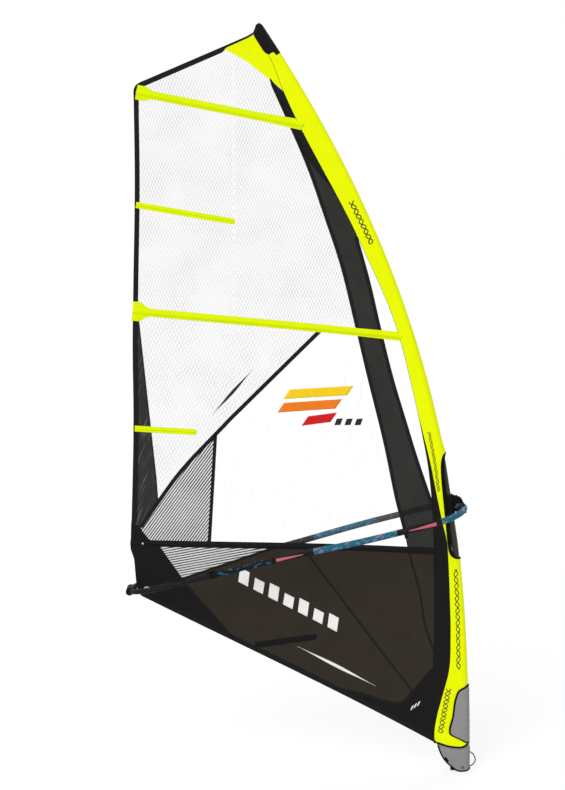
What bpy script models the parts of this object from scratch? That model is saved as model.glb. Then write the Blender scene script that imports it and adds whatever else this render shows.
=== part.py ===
"""Windsurf rig: a wave sail on its mast, with mast extension and wishbone boom.

The sail stands in the XZ plane with the luff forward at +X and the leech at -X.
The origin is the middle of the mast foot's flat underside. Units are metres.
"""
import math

import bmesh
import bpy
from mathutils import Matrix, Vector

# Running and seating clearances
CLEAR = 0.0003
TUBE_CLEAR = 0.0007
SEAM_GAP = 0.0006

# Mast line: a cubic curve from the upright foot to the bent tip
MAST_TIP_X = -1.0991
MAST_TIP_Z = 3.9133
MAST_TIP_TILT = math.radians(34.14)
MAST_FOOT_HANDLE = 1.4468
MAST_TIP_HANDLE = 1.5764
STATION_STEP = 0.25

# Mast sections and extension, as arc lengths from the foot
EXTENSION_BASE_TOP = 0.0505
EXTENSION_SETTING = 0.360
EXTENSION_INSERT = 0.240
MAST_SECTION_LENGTH = 1.850
MAST_LENGTH = 3.700
MAST_RADIUS = 0.0240
MAST_TIP_RADIUS = 0.0105
MAST_TAPER_START = 1.700
MAST_WALL = 0.0030
MAST_TOP_WALL = 0.0016
FERRULE_LENGTH = 0.200
EXTENSION_WALL = 0.0020
COLLAR_HEIGHT = 0.024
COLLAR_RADIUS = 0.0236
COLLAR_CLEAR = 0.0006

# Luff sleeve
SLEEVE_FOOT = 0.150
HEAD_CAP_START = 3.905
HEAD_TOP = 4.090
SLEEVE_WALL = 0.0019
SLEEVE_EDGE_HALF = 0.0012
SLEEVE_DEPTHS = (
    (0.15, 0.155), (0.55, 0.152), (0.93, 0.126), (1.20, 0.104), (1.47, 0.072),
    (1.86, 0.056), (2.40, 0.051), (2.90, 0.074), (3.75, 0.075), (3.95, 0.060), (4.09, 0.050),
)
CUTOUT_LOW = 1.165
CUTOUT_HIGH = 1.735
CUTOUT_BACK = 0.037
CUTOUT_REACH = 0.090
CUTOUT_CROWN = 0.030
CUTOUT_CROWN_AFT = 0.005
SEAM_ALLOWANCE = 0.20
CAP_ROOM = 0.004

# Sail outline
LEECH_HEAD = (-1.700, 3.586)
LEECH_LOW = (-1.757, 1.200)
CLEW_AFT = (-1.716, 1.010)
CLEW_FOOT = (-1.700, 0.951)
TACK_FOOT = (-0.140, 0.146)
HEAD_AFT = (-1.136, 3.826)
LEECH_TAPE_WIDTH = 0.026
TOP_TAPE_WIDTH = 0.024
FOOT_TAPE_WIDTH = 0.027

# Cloth thicknesses
FILM = 0.0010
TAPE = 0.0016
PATCH = 0.0014

# Belly of the sail, as shares of the chord, and the loose leech at the head
BELLY = 0.022
LEECH_TWIST = 0.045
BELLY_GRID = 0.26
LEAST_CHORD = 0.05
CAMBER_PEAK = 4 / 27

# Batten lines from leech to luff
BATTEN_HEAD = ((-1.700, 3.550), (-0.862, 3.386))
BATTEN_MID = ((-1.730, 2.444), (-0.358, 2.314))
BATTEN_LOW = ((-1.754, 1.233), (-0.178, 1.188))
MINI_BATTEN_HIGH = ((-1.672, 2.979), (-1.200, 2.898))
MINI_BATTEN_LOW = ((-1.700, 1.834), (-1.400, 1.815))
FOOT_BATTEN = ((-1.129, 0.673), (-0.777, 0.719))
POCKET_WIDTH = 0.040
POCKET_HEIGHT = 0.0072
POCKET_WALL = 0.0012
BATTEN_WIDTH = 0.019
BATTEN_HEIGHT = 0.0036
MINI_WIDTH = 0.030
MINI_HEIGHT = 0.0042
POCKET_LUFF_END = 0.020
TENSIONER_LENGTH = 0.036
SCREW_RADIUS = 0.0021

# Seams and panel borders
DIAGONAL_TOP_X = -0.753
DIAGONAL = ((-1.231, 1.881), (-1.518, 1.576), (-1.607, 1.462), (-1.695, 1.333))
DIAGONAL_TAPE_WIDTH = 0.020
VERTICAL_TAPE_WIDTH = 0.017
VERTICAL_SEAM_HEAD = (-1.310, 1.801)
VERTICAL_SEAM_FOOT_X = -1.341
LUFF_PANEL_AFT = ((-1.026, 3.614), (-0.828, 3.165), (-0.670, 2.709), (-0.524, 2.125), (-0.300, 1.170))
LUFF_WINDOW_AFT = ((-0.454, 2.346), (-0.322, 1.874))
LUFF_WINDOW_HIGH = 2.935
LUFF_WINDOW_LOW = 1.470
HEAD_PATCH_BORDER = ((-1.254, 3.760), (-1.147, 3.706), (-1.061, 3.641), (-1.026, 3.614))
HEAD_PATCH_LUFF_Z = 3.554
LEECH_PANEL_TOP_Z = 2.389
LEECH_PANEL_BORDER = (-1.614, 1.572)
CLEW_PATCH_TOP_Z = 1.344
CLEW_PATCH_UPPER = ((-1.695, 1.333), (-1.688, 1.309), (-1.652, 1.261))
CLEW_PATCH_X = -1.612
CLEW_PATCH_LOWER = ((-1.488, 1.044), (-1.302, 0.819))
CLEW_PATCH_FOOT_X = -1.215
MESH_TIP_X = -1.076
FOOT_SEAM_AFT_TOP_X = -0.852
FOOT_SEAM_AFT = ((-0.645, 0.920), (-0.465, 0.679))
FOOT_SEAM_FORE_TOP_X = -0.300
FOOT_SEAM_FORE = ((-0.232, 0.927), (-0.212, 0.797))
FOOT_SEAM_FORE_LOW = 0.660
TACK_PATCH_LUFF = 0.575
TACK_PATCH = ((-0.272, 0.428), (-0.333, 0.365), (-0.412, 0.372), (-0.528, 0.408))
TACK_PATCH_FOOT_X = -0.655

# Tack fittings
BASE_RADIUS = 0.0300
BASE_CHAMFER = 0.0030
SPIGOT_HEIGHT = 0.085
SPIGOT_CLEAR = 0.0014
SHEAVE_X = -0.046
SHEAVE_OFFSET = 0.0060
SHEAVE_RADIUS = 0.0110
SHEAVE_GROOVE_RADIUS = 0.0085
SHEAVE_WIDTH = 0.0060
SHEAVE_GROOVE_SHARE = 0.45
SHEAVE_BORE = 0.0028
SLOT_MARGIN = 0.0030
SLOT_UNDER = 0.0050
BASE_BLOCK_LOW = 0.0040
TACK_BLOCK_RISE = 0.0020
AXLE_RADIUS = 0.0025
AXLE_SETBACK = 0.0010
BASE_SHEAVE_Z = 0.0320
TACK_SHEAVE_Z = 0.1210
BASE_BLOCK_SIZE = (0.042, 0.0270, 0.0440)
TACK_BLOCK_SIZE = (0.032, 0.0200, 0.0380)
LINE_RADIUS = 0.0020
WEBBING_WIDTH = 0.0240
WEBBING_THICKNESS = 0.0024
WEBBING_TOP = 0.2250

# Padding and flap at the tack
PAD_THICKNESS = 0.0025
PAD_DEPTHS = ((0.150, 0.030), (0.200, 0.068), (0.300, 0.060), (0.420, 0.045), (0.450, 0.030), (0.470, 0.012))
FLAP_SEAT_CLEAR = 0.0007
FLAP_HALF_WIDTH = 0.0350
FLAP_WALL = 0.0025
FLAP_REAR = ((0.006, 0.040), (0.030, 0.062), (0.055, 0.090), (0.085, 0.112), (0.125, 0.130))
FLAP_TOP_REAR = 0.137
LOOP_RADIUS = 0.0013
LOOP_ROUTE = ((0.0, 0.102), (0.013, 0.091), (0.023, 0.076), (0.028, 0.057), (0.019, 0.036), (0.0, 0.022))

# Boom
BOOM_STATION = 1.406
BOOM_TILT = math.radians(14.2)
BOOM_FRONT = 0.083
BOOM_LENGTH = 1.795
BOOM_NOSE_LENGTH = 0.200
BOOM_HALF_WIDTH = 0.210
BOOM_TAIL_HALF_WIDTH = 0.135
BOOM_SHOULDER = 0.420
BOOM_STRAIGHT_START = 1.080
SHOULDER_STEPS = 5
BOOM_BODY_END = 1.360
BOOM_RADIUS = 0.0146
BOOM_WALL = 0.0014
GRIP_END = 1.020
GRIP_WALL = 0.0010
TAIL_RADIUS = 0.0125
TAIL_WALL = 0.0014
TAIL_INSERT_START = 1.120
TAIL_BEND_LENGTH = 0.190
TAIL_END_RADIUS = 0.0200
TAIL_END_WIDTH = 0.086

# Boom head and clamp
CLAMP_SPAN_LOW = 1.275
CLAMP_SPAN_HIGH = 1.620
CLAMP_TOP = 0.0880
CLAMP_BOTTOM = -0.0360
CLAMP_RADIUS = 0.0340
CLAMP_BORE_CLEAR = 0.0005
HEAD_PIVOT = 0.0480
HEAD_PIN_RADIUS = 0.0040
HEAD_LUG_HALF = 0.0120
HEAD_EAR_THICKNESS = 0.0100
HEAD_EAR_HEIGHT = 0.022
HEAD_EAR_END = 0.0100
CLAMP_CHAMFER = 0.0030
CLAMP_LUG_HEIGHT = 0.020
CLAMP_LUG_END = 0.0035
CLAMP_LUG_ROOT = 0.0040
HEAD_RADIUS = 0.0235
HEAD_WIDTH = 0.078
HEAD_SADDLE_LIP = 0.0050
LEVER_LENGTH = 0.0560
LEVER_THICKNESS = 0.0080
LEVER_WIDTH = 0.0260
LEVER_PIVOT_Z = 0.0780

# Tail clips and outhaul
CLIP_LENGTH = 0.034
CLIP_SETBACK = 0.002
CLIP_LEVER_SETBACK = 0.004
CLIP_RADIUS = 0.0185
CLIP_LEVER_LENGTH = 0.040
CLIP_LEVER_WIDTH = 0.014
CLIP_LEVER_THICKNESS = 0.0040
OUTHAUL_SHEAVE_OFFSET = 0.0300
OUTHAUL_SHEAVE_FORWARD = 0.0340
OUTHAUL_SHEAVE_RADIUS = 0.0090
OUTHAUL_GROOVE_RADIUS = 0.0070
CHEEK_THICKNESS = 0.0022
CHEEK_WIDTH = 0.0140
CHEEK_REACH = 0.0060
OUTHAUL_ROOM = 0.0028
EYELET = (-1.668, 0.982)
EYELET_BORE = 0.0100
EYELET_NECK = 0.0130
EYELET_FLANGE = 0.0180
EYELET_FLANGE_THICKNESS = 0.0024

COLOURS = {
    "neon": ((0.78, 1.00, 0.02, 1.0), 0.45, 0.0),
    "black_cloth": ((0.012, 0.012, 0.014, 1.0), 0.60, 0.0),
    "film": ((0.86, 0.88, 0.88, 0.55), 0.25, 0.0),
    "smoke": ((0.060, 0.058, 0.055, 0.85), 0.35, 0.0),
    "foot_cloth": ((0.030, 0.022, 0.016, 1.0), 0.45, 0.0),
    "grey_foam": ((0.30, 0.29, 0.30, 1.0), 0.80, 0.0),
    "carbon": ((0.030, 0.032, 0.022, 1.0), 0.35, 0.1),
    "grip_blue": ((0.010, 0.160, 0.340, 1.0), 0.60, 0.0),
    "black_plastic": ((0.010, 0.010, 0.011, 1.0), 0.45, 0.0),
    "steel": ((0.60, 0.60, 0.62, 1.0), 0.25, 1.0),
    "rope": ((0.05, 0.05, 0.05, 1.0), 0.80, 0.0),
    "glass_rod": ((0.70, 0.70, 0.62, 1.0), 0.40, 0.0),
}


# Scene and materials
def clear_scene():
    """Remove every object that the file starts with."""
    for item in list(bpy.data.objects):
        bpy.data.objects.remove(item, do_unlink=True)


def new_collection(name):
    collection = bpy.data.collections.new(name)
    bpy.context.scene.collection.children.link(collection)
    return collection


clear_scene()
PARTS = new_collection("windsurf_rig")
CUTTERS = new_collection("cutters")


def paint(item, finish):
    """Give an object its own Principled material in a named finish."""
    colour, roughness, metallic = COLOURS[finish]
    material = bpy.data.materials.new(item.name)
    material.use_nodes = True
    shader = material.node_tree.nodes["Principled BSDF"]
    shader.inputs["Base Color"].default_value = colour
    shader.inputs["Alpha"].default_value = colour[3]
    shader.inputs["Roughness"].default_value = roughness
    shader.inputs["Metallic"].default_value = metallic
    item.data.materials.append(material)


def add_object(name, data, finish=None, parent=None, matrix=None):
    """Link a new object to the parts, or to the cutters if it has no finish."""
    item = bpy.data.objects.new(name, data)
    if finish:
        PARTS.objects.link(item)
        paint(item, finish)
    else:
        CUTTERS.objects.link(item)
        item.hide_render = True
        item.display_type = "WIRE"
    if parent:
        item.parent = parent
    if matrix:
        item.matrix_local = matrix
    return item


def add_frame(name, location, tilt=0.0, parent=None):
    """Empty that carries pieces; its X axis is tipped up by the tilt."""
    frame = bpy.data.objects.new(name, None)
    PARTS.objects.link(frame)
    frame.parent = parent
    frame.matrix_local = Matrix.Translation(location) @ Matrix.Rotation(-tilt, 4, "Y")
    return frame


def join_with(item, other, operation):
    """Cut an object by another one, or unite the two."""
    step = item.modifiers.new(operation.lower() + "_" + other.name, "BOOLEAN")
    step.operation = operation
    step.solver = "EXACT"
    step.object = other


def smooth(mesh, angle=math.radians(35)):
    mesh.shade_smooth()
    mesh.set_sharp_from_angle(angle=angle)


# Shapes
def box(name, size, centre, finish=None, parent=None, bevel=0.0):
    """Box with its edges optionally rounded."""
    mesh = bpy.data.meshes.new(name)
    block = bmesh.new()
    bmesh.ops.create_cube(block, size=1.0)
    bmesh.ops.scale(block, vec=size, verts=block.verts)
    bmesh.ops.translate(block, vec=centre, verts=block.verts)
    block.to_mesh(mesh)
    block.free()
    item = add_object(name, mesh, finish, parent)
    if bevel:
        rounding = item.modifiers.new("rounding", "BEVEL")
        rounding.width = bevel
        rounding.segments = 2
    return item


def cylinder(name, radius, length, matrix, finish=None, parent=None, sides=24):
    """Cylinder along its own Z axis, centred on its origin."""
    mesh = bpy.data.meshes.new(name)
    block = bmesh.new()
    bmesh.ops.create_cone(
        block, cap_ends=True, segments=sides, radius1=radius, radius2=radius, depth=length
    )
    block.to_mesh(mesh)
    block.free()
    smooth(mesh)
    return add_object(name, mesh, finish, parent, matrix)


def turned(name, profile, matrix, finish=None, parent=None, steps=24):
    """Turned shape: a closed or axis-to-axis profile of (radius, height) run round Z."""
    mesh = bpy.data.meshes.new(name)
    on_axis = profile[0][0] == 0.0
    count = len(profile)
    edges = [(i, i + 1) for i in range(count - 1)]
    if not on_axis:
        edges.append((count - 1, 0))
    mesh.from_pydata([(radius, 0.0, height) for radius, height in profile], edges, [])
    item = add_object(name, mesh, finish, parent, matrix)
    screw = item.modifiers.new("turn", "SCREW")
    screw.axis = "Z"
    screw.steps = steps
    screw.render_steps = steps
    screw.use_merge_vertices = True
    screw.merge_threshold = 0.00001
    screw.use_smooth_shade = True
    return item


def rod(name, points, radius, finish=None, parent=None, resolution=4, radii=None, wall=0.0):
    """Tube or rod along a path of points: solid with filled caps, or hollow with a wall."""
    curve = bpy.data.curves.new(name, "CURVE")
    curve.dimensions = "3D"
    curve.bevel_depth = radius
    curve.bevel_resolution = resolution
    curve.use_fill_caps = not wall
    spline = curve.splines.new("POLY")
    spline.points.add(len(points) - 1)
    for index, (knot, place) in enumerate(zip(spline.points, points)):
        knot.co = (*place, 1.0)
        knot.radius = radii[index] / radius if radii else 1.0
    spline.use_smooth = True
    item = add_object(name, curve, finish, parent)
    if wall:
        shell = item.modifiers.new("wall", "SOLIDIFY")
        shell.thickness = wall
        shell.offset = -1.0
    return item


def as_mesh(item, finish=None):
    """Turn a curve object into a welded mesh object, so that it can cut or be cut."""
    view = bpy.context.view_layer
    view.update()
    evaluated = item.evaluated_get(bpy.context.evaluated_depsgraph_get())
    mesh = bpy.data.meshes.new_from_object(evaluated)
    name = item.name
    matrix = item.matrix_world.copy()
    bpy.data.objects.remove(item, do_unlink=True)
    block = bmesh.new()
    block.from_mesh(mesh)
    bmesh.ops.remove_doubles(block, verts=block.verts, dist=0.00001)
    bmesh.ops.recalc_face_normals(block, faces=block.faces)
    block.to_mesh(mesh)
    block.free()
    mesh.materials.clear()
    made = add_object(name, mesh, finish)
    made.matrix_world = matrix
    return made


def flat_piece(name, outline, thickness, finish=None, parent=None, matrix=None):
    """Flat piece: an outline in its own XY plane, extruded evenly both ways."""
    curve = bpy.data.curves.new(name, "CURVE")
    curve.dimensions = "2D"
    curve.fill_mode = "BOTH"
    curve.extrude = thickness / 2
    spline = curve.splines.new("POLY")
    spline.points.add(len(outline) - 1)
    for knot, place in zip(spline.points, outline):
        knot.co = (place[0], place[1], 0.0, 1.0)
    spline.use_cyclic_u = True
    return add_object(name, curve, finish, parent, matrix)


def loft(name, rings, finish, inner=None, closed_end=False):
    """Skin rings of equal counts; an inner set of rings makes the shape a hollow shell."""
    block = bmesh.new()
    outer_rows = [[block.verts.new(place) for place in ring] for ring in rings]
    skin(block, outer_rows)
    if not inner:
        block.faces.new(list(reversed(outer_rows[0])))
        block.faces.new(outer_rows[-1])
    else:
        inner_rows = [[block.verts.new(place) for place in ring] for ring in inner]
        skin(block, inner_rows)
        skin(block, [outer_rows[0], inner_rows[0]])
        if closed_end:
            block.faces.new(outer_rows[-1])
            block.faces.new(inner_rows[-1])
        else:
            skin(block, [outer_rows[-1], inner_rows[-1]])
    bmesh.ops.recalc_face_normals(block, faces=block.faces)
    mesh = bpy.data.meshes.new(name)
    block.to_mesh(mesh)
    block.free()
    smooth(mesh)
    return add_object(name, mesh, finish)


def skin(block, rows):
    """Fill the bands between rings that follow each other."""
    for low, high in zip(rows, rows[1:]):
        count = len(low)
        for index in range(count):
            after = (index + 1) % count
            block.faces.new((low[index], low[after], high[after], high[index]))


# Mast line
def mast_curve(share):
    """Point of the cubic mast curve at a share from 0 to 1, as (x, z)."""
    tip = Vector((MAST_TIP_X, MAST_TIP_Z))
    low = Vector((0.0, MAST_FOOT_HANDLE))
    lean = Vector((-math.sin(MAST_TIP_TILT), math.cos(MAST_TIP_TILT)))
    high = tip - MAST_TIP_HANDLE * lean
    back = 1.0 - share
    return 3 * back * back * share * low + 3 * back * share * share * high + share ** 3 * tip


def curve_at(length):
    """Point of the mast curve at an arc length from the foot."""
    walked = 0.0
    samples = 2000
    last = mast_curve(0.0)
    for index in range(1, samples + 1):
        place = mast_curve(index / samples)
        step = (place - last).length
        if walked + step >= length:
            return last.lerp(place, (length - walked) / step)
        walked += step
        last = place
    return last


def even_steps(low, high):
    count = math.ceil((high - low) / STATION_STEP)
    return [low + (high - low) * index / count for index in range(count + 1)]


STATIONS = even_steps(0.0, CLAMP_SPAN_LOW) + even_steps(CLAMP_SPAN_HIGH, HEAD_TOP)
KNOTS = [curve_at(station) for station in STATIONS]


def station_span(low, high):
    """Stations from low to high, with both ends."""
    inside = [station for station in STATIONS if low + 0.004 < station < high - 0.004]
    return [low] + inside + [high]


def mast_at(station):
    """Mast centre at a station, on the straight runs between the knots."""
    for index in range(len(STATIONS) - 1):
        low, high = STATIONS[index], STATIONS[index + 1]
        if station <= high or index == len(STATIONS) - 2:
            return KNOTS[index].lerp(KNOTS[index + 1], (station - low) / (high - low))
    return KNOTS[-1]


def mast_aft(station):
    """Direction square to the mast that points aft, at a station."""
    reach = 0.002
    along = (mast_at(station + reach) - mast_at(station - reach)).normalized()
    return Vector((-along.y, along.x))


def mast_radius(station):
    if station <= MAST_TAPER_START:
        return MAST_RADIUS
    share = (station - MAST_TAPER_START) / (EXTENSION_SETTING + MAST_LENGTH - MAST_TAPER_START)
    return MAST_RADIUS + (MAST_TIP_RADIUS - MAST_RADIUS) * share


def off_mast(station, aft, side):
    """World point beside the mast: aft of its centre and off to one side."""
    place = mast_at(station) + aft * mast_aft(station)
    return (place.x, side, place.y)


def spread(pairs, value):
    """Value between (station, size) pairs, by straight interpolation."""
    if value <= pairs[0][0]:
        return pairs[0][1]
    for (low, first), (high, last) in zip(pairs, pairs[1:]):
        if value <= high:
            return first + (last - first) * (value - low) / (high - low)
    return pairs[-1][1]


def sleeve_depth(station):
    return spread(SLEEVE_DEPTHS, station)


# Flat geometry of the sail plane
def cross(first, second):
    """Point where two straight lines meet, each given by two points."""
    (ax, az), (bx, bz) = first
    (cx, cz), (dx, dz) = second
    across = (bx - ax) * (dz - cz) - (bz - az) * (dx - cx)
    share = ((cx - ax) * (dz - cz) - (cz - az) * (dx - cx)) / across
    return (ax + share * (bx - ax), az + share * (bz - az))


def on_line(line, x):
    """Point of a line at a given x."""
    (ax, az), (bx, bz) = line
    return (x, az + (bz - az) * (x - ax) / (bx - ax))


def beside(line, distance):
    """The same line moved square to itself; positive is to its left."""
    (ax, az), (bx, bz) = line
    length = math.hypot(bx - ax, bz - az)
    dx, dz = -(bz - az) / length * distance, (bx - ax) / length * distance
    return ((ax + dx, az + dz), (bx + dx, bz + dz))


def path_between(path, upper, lower):
    """Part of a falling path from where it meets one line to where it meets the next."""
    picked = []
    for line in (upper, lower):
        for index, pair in enumerate(zip(path, path[1:])):
            place = cross(pair, line)
            low, high = sorted((pair[0][1], pair[1][1]))
            if low - 1e-9 <= place[1] <= high + 1e-9:
                picked.append((index, place))
                break
    (start, first), (end, last) = picked
    return [first] + list(path[start + 1:end + 1]) + [last]


def inset(outline, distance):
    """Outline moved inward by a distance, with mitred corners."""
    area = sum(a[0] * b[1] - b[0] * a[1] for a, b in zip(outline, outline[1:] + outline[:1]))
    turn = distance if area > 0 else -distance
    count = len(outline)
    moved = []
    for index in range(count):
        before = beside((outline[index - 1], outline[index]), turn)
        after = beside((outline[index], outline[(index + 1) % count]), turn)
        one = Vector(before[1]) - Vector(before[0])
        two = Vector(after[1]) - Vector(after[0])
        if abs(one.normalized().cross(two.normalized())) < 1e-4:
            moved.append(before[1])
        else:
            moved.append(cross(before, after))
    return moved


def strip(path, width):
    """Outline of a band of even width along a path."""
    left, right = [], []
    last = len(path) - 1
    for index, place in enumerate(path):
        before = Vector(place) - Vector(path[max(index - 1, 0)])
        after = Vector(path[min(index + 1, last)]) - Vector(place)
        before = before.normalized() if before.length else after.normalized()
        after = after.normalized() if after.length else before
        along = (before + after).normalized()
        reach = width / 2 / max(along.dot(after), 0.5)
        normal = Vector((-along.y, along.x)) * reach
        left.append(tuple(Vector(place) + normal))
        right.append(tuple(Vector(place) - normal))
    return left + right[::-1]


# Belly of the sail
REAR_STATIONS = station_span(SLEEVE_FOOT, HEAD_CAP_START)
REAR = [
    tuple(mast_at(station) + sleeve_depth(station) * mast_aft(station))
    for station in reversed(REAR_STATIONS)
]
CAP_REAR = [
    tuple(mast_at(station) + sleeve_depth(station) * mast_aft(station))
    for station in reversed(station_span(HEAD_CAP_START, HEAD_TOP))
]
LUFF_EDGE = CAP_REAR[:-1] + REAR


def rear_at(station):
    return tuple(mast_at(station) + sleeve_depth(station) * mast_aft(station))


def path_x(path, z):
    """x of a falling path at a height."""
    if z >= path[0][1]:
        return path[0][0]
    for first, last in zip(path, path[1:]):
        if z >= last[1]:
            return first[0] + (last[0] - first[0]) * (z - first[1]) / (last[1] - first[1])
    return path[-1][0]


def true_belly(x, z):
    """Sideways camber: deepest a third of the chord aft, with the leech falling off at the head."""
    luff = path_x(LUFF_EDGE, z)
    leech = on_line((LEECH_LOW[::-1], LEECH_HEAD[::-1]), max(z, CLEW_FOOT[1]))[1]
    chord = max(luff - leech, LEAST_CHORD)
    share = min(max((luff - x) / chord, 0.0), 1.0)
    rise = max(z - LEECH_LOW[1], 0.0) / (LEECH_HEAD[1] - LEECH_LOW[1])
    camber = BELLY * chord * share * (1.0 - share) ** 2 / CAMBER_PEAK
    return camber + LEECH_TWIST * share * share * rise * rise


def belly(x, z):
    """Camber on a triangular grid, so that every sheet laid on the sail shares its facets."""
    column, row = math.floor(x / BELLY_GRID), math.floor(z / BELLY_GRID)
    u, v = x / BELLY_GRID - column, z / BELLY_GRID - row
    x0, z0 = column * BELLY_GRID, row * BELLY_GRID
    x1, z1 = x0 + BELLY_GRID, z0 + BELLY_GRID
    if u + v <= 1.0:
        base = true_belly(x0, z0)
        return base + u * (true_belly(x1, z0) - base) + v * (true_belly(x0, z1) - base)
    base = true_belly(x1, z1)
    return base + (1 - u) * (true_belly(x0, z1) - base) + (1 - v) * (true_belly(x1, z0) - base)


def sail_sheet(name, outline, thickness, finish=None, lift=0.0, gap=SEAM_GAP / 2):
    """Sheet of the sail: an outline in the sail plane, bent to the belly and given a thickness.

    The lift moves its middle toward the near side, at -Y.
    """
    block = bmesh.new()
    places = inset(list(outline), gap) if gap else list(outline)
    block.faces.new([block.verts.new((x, 0.0, z)) for x, z in places])
    for normal in (Vector((1, 0, 0)), Vector((0, 0, 1)), Vector((1, 0, 1))):
        spans = [normal.dot(vert.co) / BELLY_GRID for vert in block.verts]
        for level in range(math.ceil(min(spans) + 1e-6), math.floor(max(spans) - 1e-6) + 1):
            point = normal * (level * BELLY_GRID / normal.length_squared)
            whole = block.verts[:] + block.edges[:] + block.faces[:]
            bmesh.ops.bisect_plane(block, geom=whole, dist=1e-6, plane_co=point, plane_no=normal)
    bmesh.ops.triangulate(block, faces=block.faces[:])
    for vert in block.verts:
        vert.co.y = belly(vert.co.x, vert.co.z) - lift - thickness / 2
    grown = bmesh.ops.extrude_face_region(block, geom=block.faces[:])
    far = [part for part in grown["geom"] if isinstance(part, bmesh.types.BMVert)]
    bmesh.ops.translate(block, vec=(0.0, thickness, 0.0), verts=far)
    bmesh.ops.recalc_face_normals(block, faces=block.faces)
    mesh = bpy.data.meshes.new(name)
    block.to_mesh(mesh)
    block.free()
    return add_object(name, mesh, finish)


# Mast and extension
def mast_path(low, high):
    return [off_mast(station, 0.0, 0.0) for station in station_span(low, high)]


def build_mast():
    """Two-piece mast over its extension tube; the top section carries the ferrule."""
    joint = EXTENSION_SETTING + MAST_SECTION_LENGTH
    tip = EXTENSION_SETTING + MAST_LENGTH
    low = station_span(EXTENSION_SETTING, joint)
    rod(
        "mast_bottom_section", [off_mast(s, 0.0, 0.0) for s in low], MAST_RADIUS, "carbon",
        radii=[mast_radius(s) for s in low], wall=MAST_WALL,
    )
    step = 0.0004
    ferrule_low = joint - FERRULE_LENGTH
    ferrule_radius = mast_radius(joint) - MAST_WALL - TUBE_CLEAR
    ferrule = station_span(ferrule_low, joint + CLEAR)
    upper = station_span(joint + CLEAR + step, tip)
    rod(
        "mast_top_section", [off_mast(s, 0.0, 0.0) for s in ferrule + upper], MAST_RADIUS, "carbon",
        radii=[ferrule_radius] * len(ferrule) + [mast_radius(s) for s in upper], wall=MAST_TOP_WALL,
    )
    tube_radius = MAST_RADIUS - MAST_WALL - TUBE_CLEAR
    rod(
        "extension_tube",
        mast_path(EXTENSION_BASE_TOP + CLEAR, EXTENSION_SETTING + EXTENSION_INSERT),
        tube_radius, "black_plastic", wall=EXTENSION_WALL,
    )
    top = EXTENSION_SETTING - COLLAR_CLEAR
    bore = tube_radius + CLEAR
    ring = [
        (COLLAR_RADIUS, COLLAR_HEIGHT / 2), (COLLAR_RADIUS, -COLLAR_HEIGHT / 2),
        (bore, -COLLAR_HEIGHT / 2), (bore, COLLAR_HEIGHT / 2),
    ]
    middle = top - COLLAR_HEIGHT / 2
    centre = mast_at(middle)
    aft = mast_aft(middle)
    lean = Matrix.Rotation(-math.asin(-aft.y), 4, "Y")
    place = Matrix.Translation((centre.x, 0.0, centre.y)) @ lean
    turned("extension_collar", ring, place, "black_plastic")


def sheave(name, radius, groove, matrix, parent=None):
    """Grooved wheel with a bore, turning on its own Z axis."""
    half = SHEAVE_WIDTH / 2
    profile = [
        (radius, half), (groove, half * SHEAVE_GROOVE_SHARE), (groove, -half * SHEAVE_GROOVE_SHARE),
        (radius, -half),
        (SHEAVE_BORE, -half), (SHEAVE_BORE, half),
    ]
    return turned(name, profile, matrix, "black_plastic", parent, steps=20)


def rope_sheave(name, place):
    """Sheave of the downhaul tackle."""
    sheave(name, SHEAVE_RADIUS, SHEAVE_GROOVE_RADIUS, place)


def sideways(x, y, z):
    """Placement whose Z axis runs along the world's Y axis."""
    return Matrix.Translation((x, y, z)) @ Matrix.Rotation(math.pi / 2, 4, "X")


def sheave_slot(name, y, z, height_up, height_down):
    """Cutter for a slot that a sheave turns in."""
    length = 2 * (SHEAVE_RADIUS + SLOT_MARGIN)
    width = SHEAVE_WIDTH + 2 * CLEAR
    centre = (SHEAVE_X, y, z + (height_up - height_down) / 2)
    return box(name, (length, width, height_up + height_down), centre)


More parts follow.
